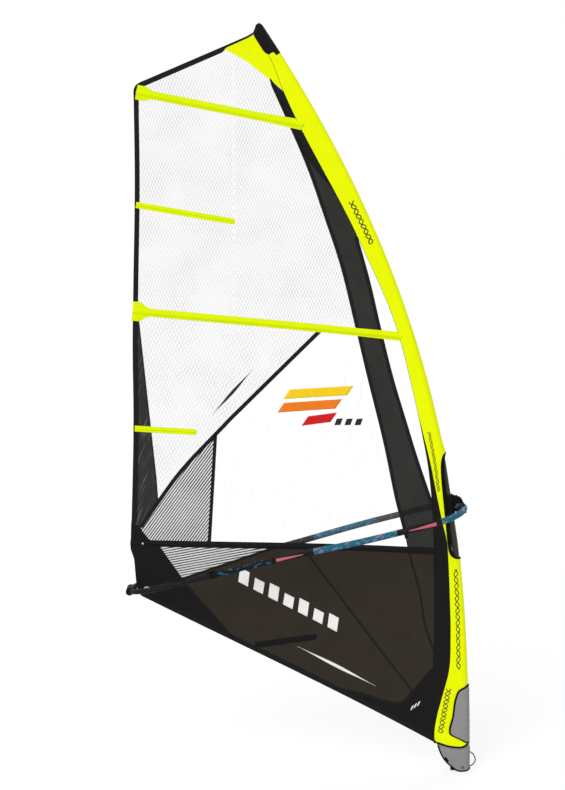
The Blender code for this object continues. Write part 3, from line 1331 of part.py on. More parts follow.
def build_outhaul_line(boom, axle_x):
    """Outhaul: through the clew eyelet, round both sheaves and forward to the rear clips."""
    lay = OUTHAUL_GROOVE_RADIUS + LINE_RADIUS + CLEAR
    bpy.context.view_layer.update()
    eyelet = boom.matrix_world.inverted() @ Vector((EYELET[0], belly(*EYELET), EYELET[1]))
    half = []
    steps = 8
    for index in range(steps + 1):
        angle = -math.pi / 2 - math.pi * index / steps
        half.append((
            axle_x + lay * math.cos(angle),
            OUTHAUL_SHEAVE_OFFSET + lay * math.sin(angle),
            0.0,
        ))
    clip_x = BOOM_FRONT - BOOM_BODY_END - CLEAR
    run_end = (clip_x, BOOM_TAIL_HALF_WIDTH - BOOM_RADIUS - LINE_RADIUS - CLEAR, 0.0)
    lead = (eyelet.x, EYELET_BORE + LINE_RADIUS + 0.0015, eyelet.z)
    through = (eyelet.x, EYELET_BORE / 2, eyelet.z)
    far = [through, lead] + half + [run_end]
    near = [(x, -y, z) for x, y, z in far[::-1]]
    rod("outhaul_line", near + far, LINE_RADIUS, "rope", boom, resolution=2)


def main():
    """Build the whole rig."""
    build_mast()
    build_tack_fittings()
    build_sleeve()
    build_pad()
    build_flap()
    build_upper_panels()
    build_lower_panels()
    build_tapes()
    build_battens()
    centre = mast_at(BOOM_STATION)
    aft = mast_aft(BOOM_STATION)
    place = (centre.x, 0.0, centre.y)
    clamp = add_frame("clamp_frame", place, math.asin(-aft.y))
    boom = add_frame("boom_frame", place, BOOM_TILT)
    build_clamp(clamp, boom)
    build_boom(boom)
    build_tail(boom)


main()
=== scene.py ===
"""Looks of a rigged windsurf sail: its cloth and films, the mast, the boom and the tack fittings.

Lengths are metres in the frame's own axes. The sail stands in the XZ plane with the luff at +X,
the near side is at -Y, and Z is up.
"""
import logging
import math
from dataclasses import dataclass, field
from enum import Enum
from typing import Callable, Optional, Sequence

import bpy
import numpy as np
from mathutils import Matrix, Vector

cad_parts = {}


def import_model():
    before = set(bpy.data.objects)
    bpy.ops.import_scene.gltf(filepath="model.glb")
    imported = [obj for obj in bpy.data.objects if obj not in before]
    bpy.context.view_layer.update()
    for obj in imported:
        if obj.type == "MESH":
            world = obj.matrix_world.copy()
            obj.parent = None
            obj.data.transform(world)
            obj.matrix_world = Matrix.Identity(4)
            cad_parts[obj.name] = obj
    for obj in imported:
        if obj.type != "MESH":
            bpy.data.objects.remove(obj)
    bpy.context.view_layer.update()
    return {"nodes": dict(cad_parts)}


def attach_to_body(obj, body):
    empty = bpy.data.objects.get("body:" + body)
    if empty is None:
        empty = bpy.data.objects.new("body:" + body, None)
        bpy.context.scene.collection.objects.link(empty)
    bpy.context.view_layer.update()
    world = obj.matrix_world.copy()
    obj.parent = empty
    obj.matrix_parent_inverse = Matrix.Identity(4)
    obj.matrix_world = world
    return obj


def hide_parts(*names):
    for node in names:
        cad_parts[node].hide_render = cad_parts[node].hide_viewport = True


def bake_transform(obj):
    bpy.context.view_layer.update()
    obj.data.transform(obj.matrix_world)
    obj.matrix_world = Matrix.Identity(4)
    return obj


LOG = logging.getLogger("windsurf_rig")
Point = tuple[float, float]
Line = tuple[Point, Point]
Array = np.ndarray
Width = Callable[[Array], Array]
Item = bpy.types.Object
Sheet = tuple[Item, Array]
Material = bpy.types.Material
Socket = bpy.types.NodeSocket

RIG_BODY = "sail_and_mast"
LEAST_FILL = 0.32  # share of its flat box that a sheet's cut has to fill
SIDES = (("near", -1.0), ("far", 1.0))
MIRROR = np.array([1.0, -1.0, 1.0])
ACROSS = (0.0, 1.0, 0.0)


class Space(Enum):
    """Where a finish reads its pattern from."""

    OBJECT = "Object"
    UV = "UV"

    def threads(self) -> tuple[tuple, tuple]:
        """Directions of a weave's two sets of threads: slanting and upright, or the texture's own axes."""
        if self is Space.UV:
            return (1.0, 0.0, 0.0), (0.0, 1.0, 0.0)
        return (0.8, 0.6, 0.0), (0.0, 0.0, 1.0)


# Curves and surfaces
def through(places: Sequence[float], values: Sequence[float], at: Array) -> Array:
    """Smooth curve through given values: cubic runs whose slopes are the mean of their neighbours'.

    Args:
        places: rising positions of the given values.
        values: the values there.
        at: positions to work out.

    Returns:
        The values at those positions.
    """
    x, y = np.asarray(places, float), np.asarray(values, float)
    slopes = np.gradient(y, x)
    low = np.clip(np.searchsorted(x, at, side="right") - 1, 0, len(x) - 2)
    step = x[low + 1] - x[low]
    t = np.clip((at - x[low]) / step, 0.0, 1.0)
    rise = t * t * (3.0 - 2.0 * t)
    start, end = t * (1.0 - t) ** 2, t * t * (t - 1.0)
    return y[low] + (y[low + 1] - y[low]) * rise + step * (slopes[low] * start + slopes[low + 1] * end)


def unit(vectors: Array) -> Array:
    """Vectors scaled to a length of one."""
    return vectors / np.linalg.norm(vectors, axis=-1, keepdims=True)


def stacked(*parts: Array | float) -> Array:
    """Points put together from their coordinates, each spread to the shape of the others."""
    return np.stack(np.broadcast_arrays(*parts), axis=-1)


def turns(count: int) -> Array:
    """Even angles round a circle."""
    return np.linspace(0.0, 2.0 * math.pi, count, endpoint=False)


def walked_along(path: Array) -> Array:
    """Distance walked from a path's first point to each of its points."""
    return np.concatenate([[0.0], np.cumsum(np.linalg.norm(np.diff(path, axis=0), axis=1))])


def read_between(places: Array, values: Array, at: Array) -> Array:
    """Columns of values read at positions, on straight runs between the given places."""
    return np.stack([np.interp(at, places, column) for column in values.T], axis=-1)


def resample(path: Array, count: int) -> Array:
    """Points at even distances along a polyline, whose rows may carry values after their coordinates."""
    walked = walked_along(path[:, :3])
    return read_between(walked, path, np.linspace(0.0, walked[-1], count))


def rounded(points: Sequence[Point], count: int = 400) -> Array:
    """Smooth path through given points: each coordinate is a smooth curve of the distance walked.

    Args:
        points: the points to pass through.
        count: how many points to return.

    Returns:
        The path's points.
    """
    knots = np.asarray(points, float)
    walked = walked_along(knots)
    at = np.linspace(0.0, walked[-1], count)
    return np.stack([through(walked, column, at) for column in knots.T], axis=-1)


def straight(*points: Point) -> Array:
    """Polyline through points, with its corners kept."""
    return np.asarray(points, float)


def joined(*paths: Array) -> Array:
    """Paths one after the other, with repeated ends dropped.

    Args:
        paths: the paths, in order.

    Returns:
        One path.
    """
    whole = np.concatenate(paths)
    keep = np.concatenate([[True], np.linalg.norm(np.diff(whole, axis=0), axis=1) > 1e-6])
    return whole[keep]


def where_crossed(path: Array, line: Line) -> float:
    """Position along a path, counted in its points, where it first crosses a straight line.

    Args:
        path: points of the path.
        line: two points of the line.

    Returns:
        The position, with a fraction between points.
    """
    (ax, az), (bx, bz) = line
    side = (path[:, 0] - ax) * (bz - az) - (path[:, 1] - az) * (bx - ax)
    change = np.nonzero(np.signbit(side[1:]) != np.signbit(side[:-1]))[0]
    if not len(change):
        return 0.0 if abs(side[0]) < abs(side[-1]) else float(len(path) - 1)
    first = change[0]
    return float(first + side[first] / (side[first] - side[first + 1]))


def between(path: Array, start: float, end: float, count: int = 200) -> Array:
    """Part of a path between two positions counted in its points."""
    return read_between(np.arange(len(path)), path, np.linspace(start, end, count))


def cut(path: Array, first: Line, last: Line, count: int = 200) -> Array:
    """Part of a path from where it crosses one line to where it crosses another."""
    return between(path, where_crossed(path, first), where_crossed(path, last), count)


def level(z: float) -> Line:
    """Horizontal line of the sail plane at a height."""
    return ((-2.0, z), (1.0, z))


def upright(x: float) -> Line:
    """Vertical line of the sail plane at a place."""
    return ((x, 0.0), (x, 2.0))


def normals_of(path: Array) -> Array:
    """Unit normals of a flat path, to the left of its direction."""
    along = unit(np.gradient(path, axis=0))
    return stacked(-along[:, 1], along[:, 0])


def smoothstep(value: Array) -> Array:
    """Ease from 0 to 1 over the unit interval."""
    t = np.clip(value, 0.0, 1.0)
    return t * t * (3.0 - 2.0 * t)


@dataclass
class Grid:
    """Mesh skinned over a grid of points, whose rows and columns may close into rings.

    Attributes:
        points: rows by columns by three coordinates.
        ring_rows: True if the last row joins the first.
        ring_columns: True if the last column joins the first.
        capped: True if the first and last rows are filled with a face each.
        uv: texture places in metres; a ring of columns has one column more than the points.
        slots: material index of each cell.
    """

    points: Array
    ring_rows: bool = False
    ring_columns: bool = False
    capped: bool = False
    uv: Optional[Array] = None
    slots: Optional[Array] = None

    def cells(self, rows: int, columns: int, wide: int) -> Array:
        """Corner indices of each cell.

        Args:
            rows: rows of cells.
            columns: cells in a row.
            wide: length of a row of corners.

        Returns:
            Four indices a cell.
        """
        r, c = np.meshgrid(np.arange(rows), np.arange(columns), indexing="ij")
        here, there = r * wide + c, (r + 1) * wide + c
        return np.stack([here, here + 1, there + 1, there], axis=-1)

    def build(self, name: str, materials: Sequence[Material], sharp: float = 40.0) -> Item:
        """Make the object, with its faces pointing out and its mesh shaded smooth.

        Args:
            name: the piece's name.
            materials: its finishes, in the order of the slots.
            sharp: edges over this angle, in degrees, stay sharp.

        Returns:
            The new object, linked to the scene.
        """
        rows, columns = self.points.shape[:2]
        cell_rows = rows if self.ring_rows else rows - 1
        cell_columns = columns if self.ring_columns else columns - 1
        wide = cell_columns + 1
        corners = self.cells(cell_rows, cell_columns, wide).reshape(-1, 4)
        faces = (corners // wide % rows) * columns + corners % wide % columns
        flat = self.points.reshape(-1, 3)
        loops = faces.reshape(-1)
        turned_in = False
        if self.ring_columns and (self.ring_rows or self.capped):
            a, b, c, d = (flat[faces[:, corner]] for corner in range(4))
            turned_in = (a * np.cross(b, c)).sum() + (a * np.cross(c, d)).sum() < 0
        lists = faces.tolist()
        if self.capped:
            first = list(range(columns))
            lists += [first[::-1], [(rows - 1) * columns + index for index in first]]
        mesh = bpy.data.meshes.new(name)
        mesh.from_pydata(flat, [], lists)
        if self.uv is not None:
            layer = mesh.uv_layers.new(name="places")
            spots = np.zeros((len(mesh.loops), 2), np.float32)
            spots[:len(loops)] = self.uv.reshape(-1, 2)[corners.reshape(-1)]
            layer.data.foreach_set("uv", spots.ravel())
        if self.slots is not None:
            index = np.zeros(len(lists), np.int32)
            index[:len(faces)] = self.slots.reshape(-1)
            mesh.polygons.foreach_set("material_index", index)
        if turned_in:
            mesh.flip_normals()
        for material in materials:
            mesh.materials.append(material)
        mesh.shade_smooth()
        mesh.set_sharp_from_angle(angle=math.radians(sharp))
        mesh.update()
        item = bpy.data.objects.new(name, mesh)
        bpy.context.scene.collection.objects.link(item)
        return item


def tube_grid(
    path: Array, radius: Array | float, reference: Array | Sequence[float], sides: int = 24,
) -> Grid:
    """Round tube along a path: circles square to it, turned by a reference direction.

    Args:
        path: centre points.
        radius: one radius, or one for each point.
        reference: a direction, or one for each point, that is never along the path.
        sides: points round the circle.

    Returns:
        The capped grid, with texture places of (distance along, angle) in metres and turns.
    """
    along = unit(np.gradient(path, axis=0))
    given = np.broadcast_to(np.asarray(reference, float), path.shape)
    up = unit(given - (along * given).sum(axis=1, keepdims=True) * along)
    side = np.cross(along, up)
    turn = turns(sides)[None, :, None]
    size = np.broadcast_to(np.asarray(radius, float), (len(path),))[:, None, None]
    ring = np.cos(turn) * up[:, None, :] + np.sin(turn) * side[:, None, :]
    uv = stacked(walked_along(path)[:, None], np.linspace(0.0, 1.0, sides + 1))
    return Grid(path[:, None, :] + size * ring, ring_columns=True, capped=True, uv=uv)


def ring_tube(loop: Array, normals: Array, radius: float, count: int, sides: int = 12) -> Grid:
    """Closed tube round a loop of points, turned by the surface directions under it.

    Args:
        loop: the loop's points, without the first repeated.
        normals: a direction for each point.
        radius: the tube's radius.
        count: points along the new loop.
        sides: points round the tube.

    Returns:
        A grid that closes both ways.
    """
    both = np.concatenate([loop, normals], axis=1)
    even = resample(np.concatenate([both, both[:1]]), count + 1)[:-1]
    padded = np.concatenate([even[-1:], even, even[:1]])
    grid = tube_grid(padded[:, :3], radius, padded[:, 3:], sides)
    return Grid(grid.points[1:-1], ring_rows=True, ring_columns=True)


def turned_grid(profile: Sequence[Point], place: Matrix, sides: int = 48) -> Grid:
    """Turned shape: a closed profile of (radius, height) run round the local Z axis.

    Args:
        profile: the section's corners, in order.
        place: where the local frame lies.
        sides: points round the axis.

    Returns:
        A grid that closes both ways.
    """
    radius, height = np.asarray(profile, float).T[:, :, None]
    turn = turns(sides)
    points = stacked(radius * np.cos(turn), radius * np.sin(turn), height)
    return Grid(moved(points, place), ring_rows=True, ring_columns=True)


def block_grid(
    size: Sequence[float], place: Matrix, power: float = 6.0, rings: int = 17, sides: int = 48,
    cap_share: float = 0.985,
) -> Grid:
    """Soft-cornered block: a superellipsoid, whose rings shrink to small caps at both ends.

    Args:
        size: full length, width and height.
        place: where the block's centre lies.
        power: how square the corners are.
        rings: rows from the lower to the upper end.
        sides: points round each row.
        cap_share: how far the rows go toward the ends; the rest is a flat cap.

    Returns:
        The capped grid.
    """
    def squared(wave: Array) -> Array:
        """Sine or cosine pressed toward a square wave, with its sign kept."""
        return np.sign(wave) * np.abs(wave) ** (2.0 / power)

    rise, turn = np.linspace(-0.5, 0.5, rings)[:, None] * math.pi * cap_share, turns(sides)
    flat = squared(np.cos(rise))
    corners = stacked(flat * squared(np.cos(turn)), flat * squared(np.sin(turn)), squared(np.sin(rise)))
    return Grid(moved(corners * np.asarray(size) / 2, place), ring_columns=True, capped=True)


def moved(points: Array, place: Matrix) -> Array:
    """Points carried by a placement matrix."""
    matrix = np.array(place)
    return points @ matrix[:3, :3].T + matrix[:3, 3]


def placed(spot: Sequence[float], degrees: float = 0.0, axis: str = "Z") -> Matrix:
    """Placement at a spot, turned about one of its own axes."""
    return Matrix.Translation(spot) @ Matrix.Rotation(math.radians(degrees), 4, axis)


def thickened(item: Item, wall: float) -> Item:
    """Give an open sheet its wall with a Solidify modifier.

    Args:
        item: the sheet.
        wall: its thickness, half of it on each side.

    Returns:
        The same object.
    """
    shell = item.modifiers.new("wall", "SOLIDIFY")
    shell.thickness = wall
    shell.offset = 0.0
    shell.use_even_offset = False
    return item


# Finishes
class Graph:
    """Small writer of the nodes of a material or a world."""

    def __init__(self, owner: Material | bpy.types.World) -> None:
        """Take up the owner's own nodes."""
        owner.use_nodes = True
        self.owner, self.tree = owner, owner.node_tree

    @classmethod
    def of(cls, name: str) -> "Graph":
        """Writer of a new material, which has a Principled shader on its output."""
        return cls(bpy.data.materials.new(name))

    def put(self, socket: Socket, source: object) -> None:
        """Link a socket to another one, or set its own value.

        Args:
            socket: the socket that takes it.
            source: another socket, a value, a colour of three parts, or None to leave the socket as it is.
        """
        if isinstance(source, Socket):
            self.tree.links.new(source, socket)
        elif source is not None:
            socket.default_value = (*source, 1.0) if socket.type == "RGBA" else source

    def node(self, kind: str, inputs: dict, output: int | str = 0, **settings: object) -> Socket:
        """Add a node and set what it needs.

        Args:
            kind: its type.
            inputs: what goes into its sockets, by index or name.
            output: which of its outputs is wanted.
            settings: its other settings, by name.

        Returns:
            That output.
        """
        node = self.tree.nodes.new(kind)
        for name, value in settings.items():
            setattr(node, name, value)
        for key, value in inputs.items():
            self.put(node.inputs[key], value)
        return node.outputs[output]

    def math(self, operation: str, first: object, second: object = None, third: object = None) -> Socket:
        """Math node of up to three values."""
        return self.node("ShaderNodeMath", {0: first, 1: second, 2: third}, operation=operation)

    def times(self, first: object, second: object) -> Socket:
        """Product of two values."""
        return self.math("MULTIPLY", first, second)

    def weave(self, first: Socket, second: Socket, rate: float) -> Socket:
        """Product of the sines of two distances, each times a rate."""
        return self.times(*(self.math("SINE", self.times(place, rate)) for place in (first, second)))

    def places(self, space: Space) -> Socket:
        """Coordinates that a pattern reads."""
        return self.node("ShaderNodeTexCoord", {}, space.value)

    def along(self, places: Socket, direction: Sequence[float]) -> Socket:
        """Distance along a direction, in the coordinates' own units."""
        inputs = {0: places, 1: tuple(direction)}
        return self.node("ShaderNodeVectorMath", inputs, "Value", operation="DOT_PRODUCT")

    def lines(self, distance: Socket, pitch: float, width: float) -> Socket:
        """Even lines: 1 on each line, 0 between, with soft edges.

        Args:
            distance: the coordinate that counts across the lines.
            pitch: spacing in metres.
            width: width of one line in metres.

        Returns:
            The mask.
        """
        saw = self.math("PINGPONG", self.times(distance, 1.0 / pitch), 0.5)
        edge = width / pitch / 2
        return self.node(
            "ShaderNodeMapRange", {0: saw, 1: edge * 0.6, 2: edge * 1.4, 3: 1.0, 4: 0.0},
            interpolation_type="SMOOTHSTEP",
        )

    def noise(self, places: object, scale: float, detail: float = 3.0) -> Socket:
        """Cloudy noise between 0 and 1."""
        return self.node("ShaderNodeTexNoise", {"Vector": places, "Scale": scale, "Detail": detail}, "Fac")

    def mix(self, share: object, first: object, second: object) -> Socket:
        """Colour between two colours."""
        return self.node("ShaderNodeMix", {0: share, 6: first, 7: second}, 2, data_type="RGBA")

    def ranged(self, value: object, low: float, high: float, start: float, end: float) -> Socket:
        """Value carried from one range to another, clamped at its ends."""
        return self.node("ShaderNodeMapRange", {0: value, 1: low, 2: high, 3: start, 4: end})

    def bump(self, height: object, depth: float, before: object = None) -> Socket:
        """Surface relief of a real depth in metres, on top of an earlier one."""
        return self.node("ShaderNodeBump", {"Height": height, "Distance": depth, "Normal": before})

    def shade(self, **inputs: object) -> Material:
        """Set the material's shader and return the material.

        Args:
            inputs: what goes into the shader, by name with underscores for spaces.

        Returns:
            The material.
        """
        shader = self.tree.nodes["Principled BSDF"]
        for name, value in inputs.items():
            self.put(shader.inputs[name.replace("_", " ")], value)
        return self.owner


@dataclass(frozen=True)
class Cloth:
    """Woven cloth: two crossing sets of threads, cloudy shade and long soft creases."""

    name: str
    colour: tuple
    shade: tuple
    roughness: float = 0.55
    space: Space = Space.OBJECT
    thread: float = 0.0012
    ripstop: float = 0.010
    weave_depth: float = 0.00010
    crease_depth: float = 0.0010
    gloss: float = 0.12
    stitches: bool = False
    stitch_run: float = 0.004
    stitch_side: float = 0.0028
    stitch_half: float = 0.0005

    def make(self) -> Material:
        """Build the material: cloudy colour, and relief from its threads, ribs, creases and stitches.

        Returns:
            The material.
        """
        graph = Graph.of(self.name)
        places = graph.places(self.space)
        first, second = (graph.along(places, direction) for direction in self.space.threads())
        weave = graph.weave(first, second, 2 * math.pi / self.thread)
        ribs = (graph.lines(distance, self.ripstop, self.thread) for distance in (first, second))
        rib = graph.math("MAXIMUM", *ribs)
        clouds = graph.noise(places, 9.0)
        creases = graph.noise(places, 4.0, 1.0)
        tone = graph.math("ADD", graph.times(clouds, 0.7), graph.times(rib, 0.22))
        colour = graph.mix(tone, self.colour, self.shade)
        relief = graph.bump(weave, self.weave_depth)
        relief = graph.bump(rib, self.weave_depth * 1.5, relief)
        relief = graph.bump(creases, self.crease_depth * 8, relief)
        rough = graph.ranged(clouds, 0.3, 0.7, self.roughness - 0.06, self.roughness + 0.08)
        if self.stitches:
            sway = graph.times(graph.math("PINGPONG", first, self.stitch_run), 1.2)
            side = graph.math("SUBTRACT", graph.math("ABSOLUTE", second), sway)
            across = graph.math("ABSOLUTE", graph.math("SUBTRACT", side, self.stitch_side))
            stitch = graph.math("LESS_THAN", across, self.stitch_half)
            colour = graph.mix(graph.times(stitch, 0.6), colour, (0.05, 0.05, 0.05))
            relief = graph.bump(stitch, 0.0004, relief)
        return graph.shade(Base_Color=colour, Roughness=rough, Normal=relief, Specular_IOR_Level=self.gloss)


@dataclass(frozen=True)
class Film:
    """Clear or smoked film with laid threads: sets of lines at angles, each with its pitch and width.

    The threads wander a little while the fade is under the dense one. Streaks are long pale lines
    along a slant, and the seam is an upright pale line.
    """

    name: str
    colour: tuple
    thread_colour: tuple
    cover: float
    thread_cover: float
    threads: tuple
    roughness: float = 0.22
    streaks: float = 0.0
    fade: float = 0.55
    gloss: float = 0.3
    dense: float = 0.8
    streak_slant: float = 68.0
    streak_rates: Point = (120.0, 7.0)
    seam_x: Optional[float] = None
    seam_half: float = 0.006
    seam_cover: float = 0.45

    def make(self) -> Material:
        """Build the material; its alpha is higher on the threads than between them.

        Returns:
            The material.
        """
        graph = Graph.of(self.name)
        places = graph.places(Space.OBJECT)
        wander = graph.times(graph.noise(places, 16.0, 1.0), self.threads[0][1] * 0.5)
        mask = None
        for degrees, pitch, width in self.threads:
            angle = math.radians(degrees)
            distance = graph.along(places, (-math.sin(angle), 0.0, math.cos(angle)))
            if self.fade < self.dense:
                distance = graph.math("ADD", distance, wander)
            family = graph.lines(distance, pitch, width)
            mask = family if mask is None else graph.math("MAXIMUM", mask, family)
        clouds = graph.noise(places, 5.0, 4.0)
        strength = graph.times(mask, graph.ranged(clouds, 0.35, 0.65, self.fade, 1.0))
        alpha = graph.ranged(strength, 0.0, 1.0, self.cover, self.thread_cover)
        colour = graph.mix(strength, self.colour, self.thread_colour)
        if self.streaks:
            slant, (fine, coarse) = math.radians(self.streak_slant), self.streak_rates
            across = graph.along(places, (-fine * math.sin(slant), 0.0, fine * math.cos(slant)))
            run = graph.along(places, (coarse * math.cos(slant), 0.0, coarse * math.sin(slant)))
            streak = graph.noise(graph.node("ShaderNodeCombineXYZ", {0: across, 1: 0.0, 2: run}), 1.0, 2.0)
            light = graph.ranged(streak, 0.55, 0.75, 0.0, self.streaks)
            colour = graph.mix(light, colour, (0.30, 0.30, 0.28))
        if self.seam_x is not None:
            beside = graph.math("ADD", graph.along(places, (1.0, 0.0, 0.0)), -self.seam_x)
            seam = graph.math("LESS_THAN", graph.math("ABSOLUTE", beside), self.seam_half)
            alpha = graph.math("MAXIMUM", alpha, graph.times(seam, self.seam_cover))
            colour = graph.mix(seam, colour, (0.95, 0.95, 0.95))
        relief = graph.bump(graph.noise(places, 2.2, 1.0), 0.010, graph.bump(mask, 0.0002))
        return graph.shade(
            Base_Color=colour, Alpha=alpha, Normal=relief, Roughness=self.roughness,
            Specular_IOR_Level=self.gloss,
        )


@dataclass(frozen=True)
class Moulded:
    """Moulded plastic or composite: fine grain, cloudy roughness and lighter worn patches."""

    name: str
    colour: tuple
    worn: tuple
    roughness: float = 0.45
    metallic: float = 0.0
    grain: float = 900.0
    grain_depth: float = 0.0001
    brushed: bool = False
    gloss: float = 0.3

    def make(self) -> Material:
        """Build the material: colour and roughness follow the clouds, and the grain gives the relief.

        Returns:
            The material.
        """
        graph = Graph.of(self.name)
        places = graph.places(Space.OBJECT)
        clouds = graph.noise(places, 30.0, 5.0)
        source = places
        if self.brushed:
            source = graph.node("ShaderNodeMapping", {0: places, 1: (0, 0, 0), 2: (0, 0, 0), 3: (1, 1, 14)})
        grain = graph.noise(source, self.grain, 2.0)
        colour = graph.mix(graph.ranged(clouds, 0.5, 0.8, 0.0, 0.6), self.colour, self.worn)
        rough = graph.ranged(clouds, 0.3, 0.7, self.roughness - 0.08, self.roughness + 0.12)
        relief = graph.bump(grain, self.grain_depth)
        return graph.shade(
            Base_Color=colour, Roughness=rough, Metallic=self.metallic, Normal=relief,
            Specular_IOR_Level=self.gloss,
        )


@dataclass(frozen=True)
class Braid:
    """Braided rope: two sets of slanting strands round the line, read from its texture places."""

    name: str
    colour: tuple
    fleck: tuple
    pitch: float = 0.006

    def make(self) -> Material:
        """Build the material: the strands set both colour and relief.

        Returns:
            The material.
        """
        graph = Graph.of(self.name)
        places = graph.places(Space.UV)
        left, right = (graph.along(places, (1.0 / self.pitch, turn, 0.0)) for turn in (2.0, -2.0))
        share = graph.ranged(graph.weave(left, right, 2 * math.pi), -1.0, 1.0, 0.0, 1.0)
        colour = graph.mix(share, self.colour, self.fleck)
        return graph.shade(Base_Color=colour, Roughness=0.75, Normal=graph.bump(share, 0.0006))


@dataclass(frozen=True)
class Banded:
    """Foam skin printed in bands along the boom's arms, counted from the front, with mottled marks.

    Each band is (where it starts, colour, colour of its marks), and starts are distances along the tube.
    A streak is a painted pink highlight, (start, end, width at its start, width at its end) on the near arm's
    sides, widths in turns.
    The far arm's painted grey stretch is a span of places along the tube, which are negative on that arm.
    Its grey is painted light: the dark tube drawn lighter, as it looks through the window film.
    """

    name: str
    bands: tuple
    streaks: tuple
    far_painted_grey_span: tuple
    reach: float
    roughness: float = 0.5

    def ramp(self, graph: Graph, place: Socket, pick: int) -> Socket:
        """Colour ramp that holds each band's colour up to the next band.

        Args:
            graph: the material's writer.
            place: distance along the tube, as a share of the reach.
            pick: which of a band's colours, 1 for its own and 2 for its marks.

        Returns:
            The colour.
        """
        node = graph.tree.nodes.new("ShaderNodeValToRGB")
        graph.put(node.inputs[0], place)
        ramp = node.color_ramp
        ramp.interpolation = "CONSTANT"
        ramp.elements.remove(ramp.elements[1])
        for index, band in enumerate(self.bands):
            stop = ramp.elements[0] if index == 0 else ramp.elements.new(band[0] / self.reach)
            stop.color = (*band[pick], 1.0)
        return node.outputs[0]

    def make(self) -> Material:
        """Build the material: bands with their marks, then the far arm's painted grey stretch and the painted
        pink highlights over them.

        Returns:
            The material.
        """
        graph = Graph.of(self.name)
        places = graph.places(Space.UV)
        run = graph.along(places, (1.0, 0.0, 0.0))
        walked = graph.math("ABSOLUTE", run)
        place = graph.math("DIVIDE", walked, self.reach)
        stretched = graph.node("ShaderNodeMapping", {0: places, 3: (34.0, 5.0, 1.0)})
        marks = graph.ranged(graph.noise(stretched, 1.0, 4.0), 0.54, 0.60, 0.0, 1.0)
        colour = graph.mix(marks, self.ramp(graph, place, 1), self.ramp(graph, place, 2))
        # Painted light: over this span the far arm's dark tube is painted lighter grey, as it looks through
        # the window film.
        start, end = self.far_painted_grey_span
        painted_far_grey = graph.times(
            graph.math("GREATER_THAN", run, start), graph.math("LESS_THAN", run, end),
        )
        colour = graph.mix(painted_far_grey, colour, PAINTED_FAR_ARM_GREY)
        side = graph.math("SUBTRACT", graph.along(places, (0.0, 1.0, 0.0)), 0.25)
        side = graph.math("PINGPONG", side, 0.25)
        # Painted pink highlights: pink streaks laid on the near arm's sides, over its dark bands.
        for start, end, first, last in self.streaks:
            inside = graph.math("LESS_THAN", side, graph.ranged(walked, start, end, first, last))
            for test, edge in (("GREATER_THAN", start), ("LESS_THAN", end)):
                inside = graph.times(inside, graph.math(test, run, edge))
            colour = graph.mix(inside, colour, PAINTED_PINK_HIGHLIGHT)
        spots = graph.node("ShaderNodeMapping", {0: places, 3: (260.0, 26.0, 1.0)})
        foam = graph.node("ShaderNodeTexVoronoi", {"Vector": spots, "Scale": 1.0}, "Distance")
        rough = graph.ranged(foam, 0.0, 0.8, self.roughness - 0.1, self.roughness + 0.1)
        return graph.shade(
            Base_Color=colour, Roughness=rough, Normal=graph.bump(foam, 0.0004), Specular_IOR_Level=0.13,
        )


NEON = (0.90, 1.0, 0.0)
NEON_SHADE = (0.76, 0.90, 0.0)
BLACK = (0.0045, 0.0045, 0.0045)
BLACK_LIGHT = (0.012, 0.012, 0.012)
BLUE = (0.006, 0.120, 0.185)
LILAC = (0.21, 0.17, 0.30)
# Pink of the highlights painted on the boom's near arm.
PAINTED_PINK_HIGHLIGHT = (0.52, 0.12, 0.16)
DARK = (0.0035, 0.0030, 0.0030)
SHADOW = (0.010, 0.009, 0.009)
# Grey painted on the far arm where it shows through the window film: painted light, not the tube's own colour.
PAINTED_FAR_ARM_GREY = (0.055, 0.055, 0.055)


